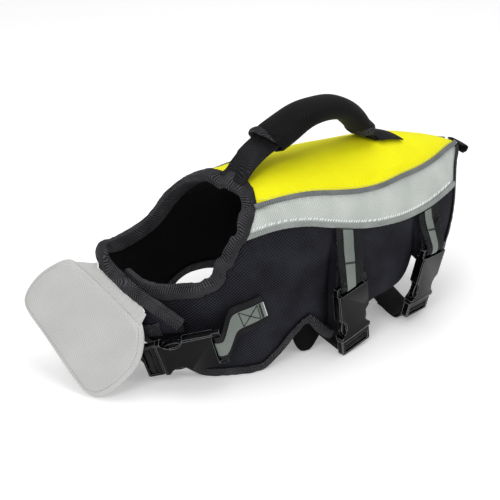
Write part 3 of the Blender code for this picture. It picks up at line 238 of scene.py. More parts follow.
def middleLine(piece, node, step):
    # the middle of the cloth every step millimetres, with the way across it
    points, reach = reachOf(piece, node)
    rings, ring, first = [], [], 0.0
    for index in np.argsort(reach, kind="stable"):
        if ring and reach[index] - first > step * mm and len(ring) >= 4:
            rings.append(ring)
            ring, first = [], reach[index]
        ring.append(index)
    rings.append(ring)
    centres = np.array([(points[r].max(0) + points[r].min(0)) / 2 for r in rings])
    across = []
    for ring, centre, way in zip(rings, centres, np.gradient(centres, axis=0)):
        way = unit(way)
        away = points[ring] - centre
        away = away - np.outer(away @ way, way)
        side = np.linalg.svd(away, full_matrices=False)[2][0]
        across.append(-side if across and side @ across[-1] < 0 else side)
    line = {"centres": centres, "across": np.array(across), "runs": lengthsAlong(centres)}
    where = np.array([reach[r].mean() for r in rings])
    side = np.zeros(len(points))
    for index, point in enumerate(points):
        share = np.interp(reach[index], where, np.arange(len(rings)))
        low, high = int(math.floor(share)), int(math.ceil(share))
        part = share - low
        centre = centres[low] * (1 - part) + centres[high] * part
        way = line["across"][low] * (1 - part) + line["across"][high] * part
        side[index] = (point - centre) @ way
    setMap(piece, np.stack([reach, side], axis=1))
    return line


def nearestOn(line, points):
    # for each point: how far along the line it is, how far from it, and how far across
    best = np.full(len(points), unreached)
    along = np.zeros(len(points))
    side = np.zeros(len(points))
    centres, across, runs = line["centres"], line["across"], line["runs"]
    for i in range(len(centres) - 1):
        step = centres[i + 1] - centres[i]
        if not step.any():
            continue
        share = np.clip(((points - centres[i]) @ step) / (step @ step), 0, 1)
        away = points - centres[i] - share[:, None] * step
        distance = np.linalg.norm(away, axis=1)
        closer = distance < best
        best[closer] = distance[closer]
        along[closer] = (runs[i] + share * (runs[i + 1] - runs[i]))[closer]
        way = across[i] + share[:, None] * (across[i + 1] - across[i])
        side[closer] = np.einsum("ij,ij->i", away, way)[closer]
    return along, best, side


def lineAt(line, run):
    # the middle and the way across, a run's length from the first end
    i = min(max(int(np.searchsorted(line["runs"], run)) - 1, 0), len(line["runs"]) - 2)
    span = line["runs"][i + 1] - line["runs"][i]
    share = min(max((run - line["runs"][i]) / max(span, 1e-9), 0), 1)
    centre = line["centres"][i] * (1 - share) + line["centres"][i + 1] * share
    way = line["across"][i] * (1 - share) + line["across"][i + 1] * share
    return centre, unit(way)


def wayAt(line, run, reach):
    # the line's own direction at a place, taken over a reach to both sides
    return lineAt(line, run + reach)[0] - lineAt(line, run - reach)[0]


def calm(line, passes=8):
    # the same line without its small zigzags
    centres = line["centres"].copy()
    for _ in range(passes):
        centres[1:-1] = (centres[:-2] + 2 * centres[1:-1] + centres[2:]) / 4
    return {"centres": centres, "across": line["across"], "runs": lengthsAlong(centres)}


# patterns follow the cloth: u runs along a piece and v across it, in metres


def setMap(piece, values):
    layer = piece.data.uv_layers.active or piece.data.uv_layers.new(name="cloth")
    corner = np.empty(len(piece.data.loops), np.int32)
    piece.data.loops.foreach_get("vertex_index", corner)
    layer.data.foreach_set("uv", values[corner].astype(np.float32).ravel())


def mapByFacing(piece):
    # each face takes the two axes that it faces least
    makeActive(piece)
    if not piece.data.uv_layers:
        piece.data.uv_layers.new(name="cloth")
    bpy.ops.object.mode_set(mode="EDIT")
    bpy.ops.mesh.select_all(action="SELECT")
    bpy.ops.uv.cube_project(cube_size=1.0)
    bpy.ops.object.mode_set(mode="OBJECT")


# cloth that isn't quite smooth

swells = {"waves": 9, "shortest": 0.7, "longest": 1.6}  # lengths as shares of the size that is asked for
gathers = {"tones": 4, "slow": 40, "fast": 160, "drift": 55, "even": 0.6, "uneven": 0.4, "fade": 1.5}
troughs = {"blunt": 0.04, "taper": 0.7}  # how a crease thins towards its two ends


def ripple(piece, depth, size, seed):
    # broad soft unevenness, from waves in any direction
    points, normals = pointsOf(piece), normalsOf(piece)
    rng = np.random.default_rng(seed)
    lift = np.zeros(len(points))
    for _ in range(swells["waves"]):
        way = rng.normal(size=3)
        length = size * mm * rng.uniform(swells["shortest"], swells["longest"])
        way *= 2 * math.pi / length / np.linalg.norm(way)
        lift += np.sin(points @ way + rng.uniform(0, 2 * math.pi))
    lift = lift / math.sqrt(swells["waves"]) * depth * mm
    setPoints(piece, points + normals * lift[:, None])


def pucker(piece, line, reach, depth, wave, seed):
    # short gathers that run away from a seam
    points, normals = pointsOf(piece), normalsOf(piece)
    along, away, _ = nearestOn(line, points)
    rng = np.random.default_rng(seed)
    tones = rng.uniform(gathers["slow"], gathers["fast"], gathers["tones"])
    phase = sum(np.sin(along * tone + rng.uniform(0, 6)) for tone in tones)
    fade = np.clip(1 - away / (reach * mm), 0, 1) ** gathers["fade"]
    strength = gathers["even"] + gathers["uneven"] * np.sin(along * gathers["drift"] + rng.uniform(0, 6))
    lift = depth * mm * fade * strength * np.sin(2 * math.pi * along / (wave * mm) + phase)
    setPoints(piece, points + normals * lift[:, None])


def press(piece, rows):
    # soft troughs between two points
    points, normals = pointsOf(piece), normalsOf(piece)
    move = np.zeros(len(points))
    for row in rows:
        start, end = np.array(row[:3]) * mm, np.array(row[3:6]) * mm
        width, depth = row[6] * mm, row[7] * mm
        step = end - start
        share = np.clip(((points - start) @ step) / (step @ step), 0, 1)
        away = np.linalg.norm(points - start - share[:, None] * step, axis=1)
        taper = np.sin(np.clip(share, troughs["blunt"], 1 - troughs["blunt"]) * math.pi) ** troughs["taper"]
        move -= depth * taper * np.exp(-((away / width) ** 2))
    outward = np.einsum("ij,ij->i", normals, points - jacketAxis) > 0
    facing = np.where(outward, 1.0, -1.0)
    setPoints(piece, points + normals * (move * facing)[:, None])


# shader groups


def groupOf(name, inputs, outputs):
    group = bpy.data.node_groups.new(name, "ShaderNodeTree")
    for label, kind, value in inputs:
        made = group.interface.new_socket(name=label, in_out="INPUT", socket_type=kind)
        if value is not None:
            made.default_value = value
    for label in outputs:
        group.interface.new_socket(name=label, in_out="OUTPUT", socket_type="NodeSocketFloat")
    return group, group.nodes.new("NodeGroupInput"), group.nodes.new("NodeGroupOutput")


def mathNode(tree, operation, *values):
    node = tree.nodes.new("ShaderNodeMath")
    node.operation = operation
    for i, value in enumerate(values):
        if isinstance(value, (int, float)):
            node.inputs[i].default_value = value
        else:
            tree.links.new(value, node.inputs[i])
    return node.outputs[0]


def noiseNode(tree, place, scale, detail=2):
    node = tree.nodes.new("ShaderNodeTexNoise")
    node.inputs["Scale"].default_value = scale
    node.inputs["Detail"].default_value = detail
    tree.links.new(place, node.inputs["Vector"])
    return node.outputs["Fac"]


def bumpNode(tree, height, shader, strength, distance):
    node = tree.nodes.new("ShaderNodeBump")
    node.inputs["Strength"].default_value = strength
    node.inputs["Distance"].default_value = distance * mm
    tree.links.new(height, node.inputs["Height"])
    tree.links.new(node.outputs[0], shader.inputs["Normal"])


weave = {"thread": 0.5, "fuzz": 0.8, "fuzz_scale": 900, "cloud_scale": 28, "cloud_detail": 4}
ribs = {"dots": 0.6, "floor": 0.5, "rib": 1.2, "fuzz": 0.3, "fuzz_scale": 700, "cloud_scale": 40}


def makeWeaveGroup():
    # plain weave: threads over and under in turn, with a soft unevenness
    group, start, end = groupOf(
        "weave",
        [("Map", "NodeSocketVector", None), ("Pitch", "NodeSocketFloat", 0.001)],
        ["Height", "Mottle"])
    split = group.nodes.new("ShaderNodeSeparateXYZ")
    group.links.new(start.outputs["Map"], split.inputs[0])
    waves = []
    for axis in range(2):
        turns = mathNode(group, "DIVIDE", split.outputs[axis], start.outputs["Pitch"])
        waves.append(mathNode(group, "SINE", mathNode(group, "MULTIPLY", turns, math.pi)))
    woven = mathNode(group, "MULTIPLY", mathNode(group, "MULTIPLY", *waves), weave["thread"])
    fuzz = noiseNode(group, start.outputs["Map"], weave["fuzz_scale"])
    height = mathNode(group, "ADD", woven, mathNode(group, "MULTIPLY", fuzz, weave["fuzz"]))
    group.links.new(height, end.inputs["Height"])
    cloud = noiseNode(group, start.outputs["Map"], weave["cloud_scale"], weave["cloud_detail"])
    group.links.new(cloud, end.inputs["Mottle"])
    return group


def makeRibGroup():
    # ribs across a tape, which may lean to and fro as on webbing, with a row of dots along each
    group, start, end = groupOf(
        "ribs",
        [("Map", "NodeSocketVector", None), ("Pitch", "NodeSocketFloat", 0.0018),
         ("Lean", "NodeSocketFloat", 0.0), ("Column", "NodeSocketFloat", 0.004)],
        ["Height", "Mottle"])
    split = group.nodes.new("ShaderNodeSeparateXYZ")
    group.links.new(start.outputs["Map"], split.inputs[0])

    def wave(place):
        turns = mathNode(group, "MULTIPLY", mathNode(group, "DIVIDE", place, start.outputs["Pitch"]), math.pi)
        return mathNode(group, "ABSOLUTE", mathNode(group, "SINE", turns))

    fold = mathNode(group, "PINGPONG", split.outputs[1], start.outputs["Column"])
    leaning = mathNode(group, "MULTIPLY", fold, start.outputs["Lean"])
    ridge = mathNode(group, "SUBTRACT", 1.0, wave(mathNode(group, "ADD", split.outputs[0], leaning)))
    # through the cloth's colour ramp these dots also become painted highlights
    dots = mathNode(group, "MULTIPLY", wave(split.outputs[1]), ribs["dots"])
    rib = mathNode(group, "MULTIPLY", ridge, mathNode(group, "ADD", dots, ribs["floor"]))
    raised = mathNode(group, "MULTIPLY", rib, ribs["rib"])
    fuzz = noiseNode(group, start.outputs["Map"], ribs["fuzz_scale"])
    height = mathNode(group, "ADD", raised, mathNode(group, "MULTIPLY", fuzz, ribs["fuzz"]))
    group.links.new(height, end.inputs["Height"])
    group.links.new(noiseNode(group, start.outputs["Map"], ribs["cloud_scale"]), end.inputs["Mottle"])
    return group


weaveGroup = makeWeaveGroup()
ribGroup = makeRibGroup()

# materials: colours are from 0 to 255

clothLook = {"sheen_roughness": 0.5, "specular": 0.14, "height": 0.6, "mottle": 0.5,
             "valley": 0.3, "top": 0.8}
plasticLook = {"specular": 0.12, "grain": 1500, "scuffs": 60, "scuff_detail": 6, "scuff_depth": 0.18,
               "bump": 0.12, "distance": 0.1}


def linear(colour):
    return tuple(((c / 255 + 0.055) / 1.055) ** 2.4 if c > 10 else c / 255 / 12.92 for c in colour) + (1.0,)


def clothMaterial(name, low, high, pattern, bump, roughness, sheen, distance=0.3):
    # low and high are the colours of a thread's valley and of its top: the weave's pattern, with painted
    # shade in the valleys and a painted highlight on the tops
    material = bpy.data.materials.new(name)
    material.use_nodes = True
    tree = material.node_tree
    shader = tree.nodes["Principled BSDF"]
    shader.inputs["Roughness"].default_value = roughness
    shader.inputs["Sheen Weight"].default_value = sheen
    shader.inputs["Sheen Roughness"].default_value = clothLook["sheen_roughness"]
    shader.inputs["Specular IOR Level"].default_value = clothLook["specular"]
    cloth = tree.nodes.new("ShaderNodeUVMap")
    woven = tree.nodes.new("ShaderNodeGroup")
    woven.node_tree = pattern["group"]
    tree.links.new(cloth.outputs[0], woven.inputs["Map"])
    for key, value in pattern["sizes"].items():
        woven.inputs[key].default_value = value
    # the weave's height darkens the valleys as painted shade and lightens the tops as a painted highlight
    tone = mathNode(tree, "ADD", mathNode(tree, "MULTIPLY", woven.outputs["Height"], clothLook["height"]),
                    mathNode(tree, "MULTIPLY", woven.outputs["Mottle"], clothLook["mottle"]))
    ramp = tree.nodes.new("ShaderNodeValToRGB")
    stops = ((low, clothLook["valley"]), (high, clothLook["top"]))
    for stop, (colour, place) in zip(ramp.color_ramp.elements, stops):
        stop.color = linear(colour)
        stop.position = place
    tree.links.new(tone, ramp.inputs[0])
    tree.links.new(ramp.outputs[0], shader.inputs["Base Color"])
    bumpNode(tree, woven.outputs["Height"], shader, bump, distance)
    return material


def plasticMaterial(name, colour, roughness):
    # moulded plastic with a fine grain and faint scuffs, for thread too
    material = bpy.data.materials.new(name)
    material.use_nodes = True
    tree = material.node_tree
    shader = tree.nodes["Principled BSDF"]
    shader.inputs["Base Color"].default_value = linear(colour)
    shader.inputs["Specular IOR Level"].default_value = plasticLook["specular"]
    place = tree.nodes.new("ShaderNodeTexCoord").outputs["Object"]
    grain = noiseNode(tree, place, plasticLook["grain"])
    scuff = noiseNode(tree, place, plasticLook["scuffs"], plasticLook["scuff_detail"])
    scuffed = mathNode(tree, "MULTIPLY", scuff, plasticLook["scuff_depth"])
    smoothest = roughness - plasticLook["scuff_depth"] / 2
    tree.links.new(mathNode(tree, "ADD", scuffed, smoothest), shader.inputs["Roughness"])
    bumpNode(tree, grain, shader, plasticLook["bump"], plasticLook["distance"])
    return material


def patternOf(group, pitch, lean=None, column=None):
    sizes = {"Pitch": pitch * mm}
    if column:
        sizes.update({"Lean": lean, "Column": column * mm})
    return {"group": group, "sizes": sizes}


fineWeave = patternOf(weaveGroup, 1.2)
oxford = patternOf(weaveGroup, 1.7)
tapeRib = patternOf(ribGroup, 2.5, 0.9, 60)
webRib = patternOf(ribGroup, 2.2, 0.8, 4.5)
fineRib = patternOf(ribGroup, 1.6, 0.5, 30)

yellowCloth = clothMaterial(
    "yellow cloth", (242, 232, 4), (255, 255, 26), fineWeave, bump=0.5, roughness=0.7, sheen=0.03)
greyCloth = clothMaterial(
    "silver grey cloth", (170, 176, 171), (222, 226, 222), fineWeave, bump=0.4, roughness=0.62, sheen=0.03)
blackCloth = clothMaterial(
    "black oxford", (2, 2, 3), (50, 51, 60), oxford, bump=1.0, roughness=0.8, sheen=0.01)
liningCloth = clothMaterial(
    "black lining", (2, 2, 2), (9, 9, 9), oxford, bump=0.5, roughness=0.85, sheen=0.0)
tapeCloth = clothMaterial(
    "black ribbed tape", (1, 1, 1), (84, 84, 88), tapeRib, bump=1.0, roughness=0.8, sheen=0.01, distance=0.8)
webbingCloth = clothMaterial(
    "black webbing", (1, 1, 1), (50, 50, 53), webRib, bump=1.0, roughness=0.76, sheen=0.01, distance=0.6)
darkCord = clothMaterial(
    "dark grey piping", (80, 84, 84), (142, 146, 146), fineRib, bump=0.8, roughness=0.6, sheen=0.02)
lightCord = clothMaterial(
    "light grey piping", (112, 117, 114), (176, 181, 177), fineRib, bump=0.8, roughness=0.55, sheen=0.02)
reflectiveTape = clothMaterial(
    "reflective stripe", (100, 107, 102), (142, 149, 143), fineWeave, bump=0.4, roughness=0.5, sheen=0.0)
floatCloth = clothMaterial(
    "float cloth", (188, 188, 186), (210, 210, 208), fineWeave, bump=0.3, roughness=0.7, sheen=0.04)
neoprene = clothMaterial(
    "neoprene", (4, 4, 4), (26, 26, 27), oxford, bump=0.5, roughness=0.9, sheen=0.05)
plastic = plasticMaterial("black plastic", (4, 4, 5), 0.23)
# the pale colour of the buckles' rounded edges is a painted highlight
plasticEdgeHighlight = plasticMaterial("plastic edge painted highlight", (136, 138, 141), 0.35)
whiteThread = plasticMaterial("white thread", (246, 250, 248), 0.6)
yellowThread = plasticMaterial("yellow thread", (250, 246, 130), 0.6)
blackThread = plasticMaterial("black thread", (8, 8, 8), 0.6)
greyThread = plasticMaterial("grey thread", (150, 152, 150), 0.6)
print("materials made")

# cords on the long seams, first, because the cloth is gathered along them

piping = {
    "upper_piping_left": {"material": darkCord, "slot": "dark_piping"},
    "upper_piping_right": {"material": darkCord, "slot": "dark_piping"},
    "lower_piping_left": {"material": lightCord, "slot": "light_piping"},
    "lower_piping_right": {"material": lightCord, "slot": "light_piping"}}
pipingCloth = {"step": 4, "crease": 0.6, "reach": 12, "depth": 0.25, "wave": 7, "seed": 3}
cordEnd = {"face": 0.5, "look_back": 12, "look_on": 14, "grow": 10, "into_tape": 0.3, "fade": 22}


def makePiping():
    for node, cord in piping.items():
        piece = copyOf(node, node + "_cord")
        paths[node] = middleLine(piece, node, pipingCloth["step"])
        subdivide(piece, 2, crease=pipingCloth["crease"])
        pucker(piece, paths[node], pipingCloth["reach"], pipingCloth["depth"], pipingCloth["wave"],
               pipingCloth["seed"])
        dress(piece, cord["material"], cord["slot"], node)
    print("piping made")


def reachTo(piece, line, tree, first):
    # one end of a cord grows until it meets the tape across it
    points = pointsOf(piece)
    along, _, side = nearestOn(line, points)
    total = line["runs"][-1]
    end, before = (0.0, cordEnd["look_back"] * mm) if first else (total, total - cordEnd["look_back"] * mm)
    fromEnd = along if first else total - along
    way = unit(lineAt(line, end)[0] - lineAt(line, before)[0])
    gaps = []
    for index in np.nonzero(fromEnd < cordEnd["face"] * mm)[0]:
        hit = tree.ray_cast(Vector(points[index] - way * mm), Vector(way), cordEnd["look_on"] * mm)
        if hit[0] is not None:
            gaps.append((side[index], hit[3] - mm))
    if not gaps:
        print("no tape met by", piece.name)
        return
    gaps = np.array(gaps)
    if np.ptp(gaps[:, 0]) > mm:
        slope, middle = np.polyfit(gaps[:, 0], gaps[:, 1], 1)
    else:
        slope, middle = 0, gaps[:, 1].mean()
    grow = np.clip(middle + slope * side, 0, cordEnd["grow"] * mm) + cordEnd["into_tape"] * mm
    fade = smooth(1 - fromEnd / (cordEnd["fade"] * mm))
    setPoints(piece, points + way * (grow * fade)[:, None])


def meetTapes():
    neck = treeOf(bpy.data.objects["neck_binding_tape"])
    rear = treeOf(bpy.data.objects["rear_binding_tape"])
    for node in piping:
        cord = bpy.data.objects[node + "_cord"]
        reachTo(cord, paths[node], neck, True)
        reachTo(cord, paths[node], rear, False)


# the far side of the neck waves a little, and its front corner is pulled out
# from, to and ease are lengths along the neck tape

neckWave = {"from": 330, "to": 560, "ease": 25, "height": 1.5, "length": 31, "forward": 0.5, "reach": 34,
            "fade": 1.25, "second_height": 0.5, "second_rate": 1.73, "second_start": 1.1}
neckCorner = {"place": (-62, -193, 124), "pull": (-3.8, -3.1, 3.1), "radius": 15}


def tapeGuide():
    guide = copyOf("neck_binding", "neck_guide")
    paths["neck_binding"] = middleLine(guide, "neck_binding", tapeCut["step"])
    bpy.data.objects.remove(guide)


def waveNeck(piece):
    points = pointsOf(piece)
    along, away, _ = nearestOn(paths["neck_binding"], points)
    began = smooth((along / mm - neckWave["from"]) / neckWave["ease"])
    inside = began * smooth((neckWave["to"] - along / mm) / neckWave["ease"])
    fade = smooth(neckWave["fade"] - away / (neckWave["reach"] * mm))
    turn = 2 * math.pi * along / (neckWave["length"] * mm)
    second = neckWave["second_height"] * np.sin(turn * neckWave["second_rate"] + neckWave["second_start"])
    lift = neckWave["height"] * mm * (np.sin(turn) + second)
    move = np.zeros_like(points)
    move[:, 2] = lift * inside * fade
    move[:, 1] = -neckWave["forward"] * lift * inside * fade
    away = np.linalg.norm(points / mm - neckCorner["place"], axis=1) / neckCorner["radius"]
    move += np.exp(-away ** 2)[:, None] * np.array(neckCorner["pull"]) * mm
    setPoints(piece, points + move)


# padded panels: the seams that gather them, the depth of their swells, and a seed

panels = {
    "back_panel": (yellowCloth, "yellow_cloth", ("upper_piping_left", "upper_piping_right"), 0.9, 11),
    "band_left": (greyCloth, "grey_cloth", ("upper_piping_left", "lower_piping_left"), 0.9, 12),
    "band_right": (greyCloth, "grey_cloth", ("upper_piping_right", "lower_piping_right"), 0.9, 13),
    "chest_left": (blackCloth, "black_cloth", ("lower_piping_left",), 1.1, 14),
    "chest_right": (blackCloth, "black_cloth", ("lower_piping_right",), 1.1, 15),
    "side_left": (blackCloth, "black_cloth", ("lower_piping_left",), 1.0, 16),
    "side_right": (blackCloth, "black_cloth", ("lower_piping_right",), 1.0, 17),
    "rear_left": (blackCloth, "black_cloth", ("lower_piping_left",), 0.8, 18),
    "rear_right": (blackCloth, "black_cloth", ("lower_piping_right",), 0.8, 19)}
panelCloth = {"swell": 0.35, "swell_size": 60, "reach": 18, "depth": 0.45, "wave": 9, "fill": 0.35}

# soft troughs: start x, y, z, end x, y, z, width, depth
creases = {
    "chest_left": (
        (86, 4, 120, 84, 14, 40, 8, 1.0),
        (86, -82, 120, 80, -64, 40, 9, 1.6),
        (86, -50, 60, 84, -30, 20, 10, 1.4),
        (84, 0, 150, 86, 8, 70, 8, 1.3),
        (70, -118, 95, 78, -90, 70, 8, 1.5),
        (84, -20, 110, 84, 6, 92, 7, 0.9),
        (60, -135, 80, 50, -145, 40, 8, 1.2)),
    "side_left": (
        (82, 30, 140, 84, 34, 60, 7, 1.2),
        (84, 75, 132, 84, 84, 80, 9, 1.1),
        (82, 110, 128, 80, 118, 62, 8, 1.3),
        (84, 60, 60, 82, 100, 52, 8, 0.9)),
    "rear_left": (
        (74, 160, 128, 68, 170, 80, 7, 1.1),
        (64, 185, 130, 58, 205, 90, 7, 1.2)),
    "chest_right": (
        (-104, -60, 120, -100, -40, 60, 10, 1.5),
        (-102, -10, 150, -102, 0, 80, 8, 1.3),
        (-100, -100, 120, -100, -80, 50, 9, 1.4),
        (-60, -185, 110, -50, -195, 60, 9, 1.3),
        (-85, -150, 120, -80, -160, 60, 9, 1.2)),
    "side_right": (
        (-101, 34, 140, -101, 38, 60, 7, 1.2),
        (-101, 85, 130, -101, 94, 75, 9, 1.2),
        (-99, 115, 125, -97, 122, 60, 8, 1.1)),
    "rear_right": (
        (-90, 162, 126, -84, 175, 80, 7, 1.1),
        (-78, 190, 128, -70, 208, 92, 7, 1.1)),
    "back_panel": (
        (-40, -55, 206, -20, 60, 214, 16, 0.9),
        (30, -40, 206, 24, 80, 212, 15, 0.8),
        (-30, 110, 210, -12, 225, 198, 12, 0.9),
        (20, 120, 210, 4, 220, 200, 12, 0.8))}

# the quilted seams of the sides: y, width at the top and at the hem, depth
valleys = ((22.3, 8, 14, 8.0), (146.5, 6, 9, 4.0))
valleyEnds = {"from": 150, "over": 40, "full_width": 140, "edge": 1.6}  # heights from the floor


def sink(piece):
    # both faces of the cloth go in along a seam, so that the padding swells on its two sides
    points = pointsOf(piece)
    facing = np.where(points[:, 0] > jacketAxis[0], -1.0, 1.0)
    height = points[:, 2] / mm
    fade = smooth((valleyEnds["from"] - height) / valleyEnds["over"])
    move = np.zeros(len(points))
    for seam, top, hem, depth in valleys:
        width = hem + (top - hem) * np.clip(height / valleyEnds["full_width"], 0, 1)
        away = np.abs(points[:, 1] / mm - seam) / width
        move += depth * fade * np.exp(-away ** valleyEnds["edge"])
    points[:, 0] += facing * move * mm
    setPoints(piece, points)


def lineInside(piece):
    # the faces that look into the jacket get the lining
    piece.data.materials.append(liningCloth)
    outward = vectorsOf(piece.data.polygons, "center") - jacketAxis
    outward[:, 1] = 0
    inside = np.einsum("ij,ij->i", vectorsOf(piece.data.polygons, "normal"), outward) < 0
    piece.data.polygons.foreach_set("material_index", inside.astype(np.int32))


def makePanels():
    for node, (material, slotName, gatheredAt, depth, seed) in panels.items():
        piece = copyOf(node, node + "_cloth")
        subdivide(piece, 3)
        ripple(piece, depth * panelCloth["swell"], panelCloth["swell_size"], seed)
        for seam in gatheredAt:
            pucker(piece, paths[seam], panelCloth["reach"], panelCloth["depth"], panelCloth["wave"], seed)
        press(piece, creases.get(node, ()))
        if material is blackCloth:
            sink(piece)
        waveNeck(piece)
        mapByFacing(piece)
        dress(piece, material, slotName, node)
        lineInside(piece)
        print("panel", node)


# folded tapes: cut width and length, and the depth of the gathers

tapes = {
    "neck_binding": (36, 612, 0.55),
    "hem_binding_left": (30, 299, 0.4),
    "hem_binding_right": (30, 372, 0.4),
    "rear_binding": (20, 299, 0.3)}
tapeCut = {"step": 6, "crease": 0.75, "reach": 30, "wave": 14, "seed": 31}

# the handle strap's front end goes in under the neck tape
tuck = {"strap_down": 2.7, "tape_up": 2.0, "sewn": 9, "fade": 15, "cover": 5.2, "cover_fade": 3}
tuckWay = np.array((0.0, -0.2, 0.98))


def coverStrap(tape):
    # the tape rises over the strap's sewn end
    strap = copyOf("handle_strap", "strap_guide")
    tree = treeOf(strap)
    bpy.data.objects.remove(strap)
    points = pointsOf(tape)
    away = np.array([tree.find_nearest(Vector(point))[3] for point in points])
    weight = smooth((tuck["cover"] - away / mm) / tuck["cover_fade"])
    setPoints(tape, points + tuckWay * (weight * tuck["tape_up"] * mm)[:, None])


def tuckStrap(piece):
    # and the end lies under it, on the yellow cloth
    points = pointsOf(piece)
    along = nearestOn(paths["handle_strap"], points)[0] / mm
    weight = smooth(1 - (along - tuck["sewn"]) / tuck["fade"])
    setPoints(piece, points - tuckWay * (weight * tuck["strap_down"] * mm)[:, None])


def makeTapes():
    for node, (width, length, depth) in tapes.items():
        piece = copyOf(node, node + "_tape")
        paths[node] = middleLine(piece, node, tapeCut["step"])
        subdivide(piece, 2, crease=tapeCut["crease"])
        pucker(piece, paths[node], tapeCut["reach"], depth, tapeCut["wave"], tapeCut["seed"])
        if node == "neck_binding":
            coverStrap(piece)
        waveNeck(piece)
        dress(piece, tapeCloth, "ribbed_tape", node)
        print("tape", node)


# webbing and its reflective stripes: cut width and length

straps = {
    "middle_strap": (36, 101),
    "rear_strap": (36, 87),
    "middle_belly_strap": (36, 399),
    "rear_belly_strap": (36, 362),
    "chest_strap_left": (36, 90),
    "chest_strap_right": (36, 126),
    "handle_strap": (35, 241),
    "tail_loop": (20, 33)}
stripes = {
    "middle_strap_stripe": (13.7, 65),
    "rear_strap_stripe": (11.5, 55),
    "middle_belly_strap_stripe": (17.3, 87),
    "rear_belly_strap_stripe": (17.3, 36),
    "chest_strap_left_stripe": (20.2, 75)}
topSeams = {
    "middle_strap": "lower_piping_left",
    "rear_strap": "lower_piping_left",
    "middle_belly_strap": "lower_piping_right",
    "rear_belly_strap": "lower_piping_right"}
strapCloth = {"step": 3, "web_crease": 0.9, "stripe_crease": 0.95}
strapTop = {"below_seam": 2.6, "grow": 14, "fade": 26}


def raiseTop(piece, node, seamLine):
    # a strap's upper end runs up to the cord above it
    start, onward = startOf(node)
    way = -onward
    points = pointsOf(piece)
    along = nearestOn(paths[node], points)[0]
    order = np.argsort(seamLine["centres"][:, 1])
    seam = np.interp(points[:, 1], seamLine["centres"][order, 1], seamLine["centres"][order, 2])
    grow = np.clip(seam - strapTop["below_seam"] * mm - start[2], 0, strapTop["grow"] * mm) / way[2]
    setPoints(piece, points + way * (grow * smooth(1 - along / (strapTop["fade"] * mm)))[:, None])


def makeStrap(node, suffix, crease, material, slotName):
    piece = copyOf(node, node + suffix)
    paths[node] = middleLine(piece, node, strapCloth["step"])
    subdivide(piece, 2, crease=crease)
    seam = topSeams.get(node.replace("_stripe", ""))
    if seam:
        raiseTop(piece, node, paths[seam])
    if node == "handle_strap":
        tuckStrap(piece)
    dress(piece, material, slotName, node)


def makeStraps():
    for node, cut in straps.items():
        makeStrap(node, "_web", strapCloth["web_crease"], webbingCloth, "webbing")
    for node, cut in stripes.items():
        makeStrap(node, "_tape", strapCloth["stripe_crease"], reflectiveTape, "reflective")
    print("straps made")


# buckles: the rounded edges are painted lighter as a highlight; angles are in degrees

moulding = {"round": 0.55, "segments": 3, "sharp_from": 28, "smooth_to": 35}


def makeBuckle(node):
    piece = copyOf(node, node + "_moulding")
    for material in (plastic, plasticEdgeHighlight):
        piece.data.materials.append(material)
    applyModifier(piece, "BEVEL", width=moulding["round"] * mm, segments=moulding["segments"],
                  angle_limit=math.radians(moulding["sharp_from"]), material=1)
    makeActive(piece)
    bpy.ops.object.shade_smooth_by_angle(angle=math.radians(moulding["smooth_to"]))
    mapByFacing(piece)
    rounded = np.empty(len(piece.data.polygons), np.int32)
    piece.data.polygons.foreach_get("material_index", rounded)
    dress(piece, plastic, "plastic", node)
    piece.data.materials.append(plasticEdgeHighlight)
    piece.data.polygons.foreach_set("material_index", rounded)


def makeBuckles():
    for which in ("front", "middle", "rear"):
        for half in ("female", "male"):
            makeBuckle(f"{which}_buckle_{half}")
    print("buckles made")


# chin float: its upper left corner, a low corner, and the way along its top

floatCorner = np.array((-51.6, -219.9, 114.4)) * mm
floatLow = np.array((29.1, -250.5, 4.0)) * mm
floatAlong = np.array((0.8756, 0.3173, -0.3641))
floatPad = {"crease": 0.45, "swell": 0.3, "swell_size": 50, "seed": 41, "fill": 0.5}

# how far its left and low corners hang out, along and down its face
floatHang = {"left_from": 45, "left_over": 80, "low_from": 45, "low_over": 50, "top": 20,
             "left_along": 5.5, "left_down": 4, "low_down": 5, "both_down": 3}

# the strip over the float's top: how far its edge grows, and where along and down the float
stripGrow = {"left": 3.5, "right": 7.0, "from": -12, "over": 11}
stripCorner = {"grow": 11.0, "from": -11, "over": 13, "left": -2, "fade": 24}
stripUnder = {"grow": 6.0, "sink": 0.6, "first": 8, "last": 90, "left_fade": 16, "right_fade": 10,
              "down": 1.5, "down_fade": 4}
stripCloth = {"step": 4, "crease": 0.9, "reach": 60, "depth": 0.55, "wave": 8, "seed": 43}
stripRest = {"front_from": 2.9, "front": 1.2, "back": 0.3, "look": 6}  # heights over the float's cloth


def floatAxes():
    out = unit(np.cross(floatAlong, floatLow - floatCorner))
    out = -out if out[1] > 0 else out
    down = np.cross(floatAlong, out)
    return (-down if down[2] > 0 else down), out


def spread(along, down):
    left = smooth((floatHang["left_from"] - along) / floatHang["left_over"])
    low = smooth((down - floatHang["low_from"]) / floatHang["low_over"])
    moveDown = floatHang["left_down"] * left + floatHang["low_down"] * low
    moveDown = (moveDown - floatHang["both_down"] * left * low) * smooth(down / floatHang["top"])
    return (-floatHang["left_along"] * left - low) * mm, moveDown * mm


def makeFloatPad(down):
    piece = copyOf("chin_float", "chin_float_pad")
    subdivide(piece, 3, crease=floatPad["crease"])
    points = pointsOf(piece)
    rel = (points - floatCorner) / mm
    moveAlong, moveDown = spread(rel @ floatAlong, rel @ down)
    setPoints(piece, points + floatAlong * moveAlong[:, None] + down * moveDown[:, None])
    ripple(piece, floatPad["swell"], floatPad["swell_size"], floatPad["seed"])
    mapByFacing(piece)
    dress(piece, floatCloth, "float_cloth", "chin_float")
    return piece


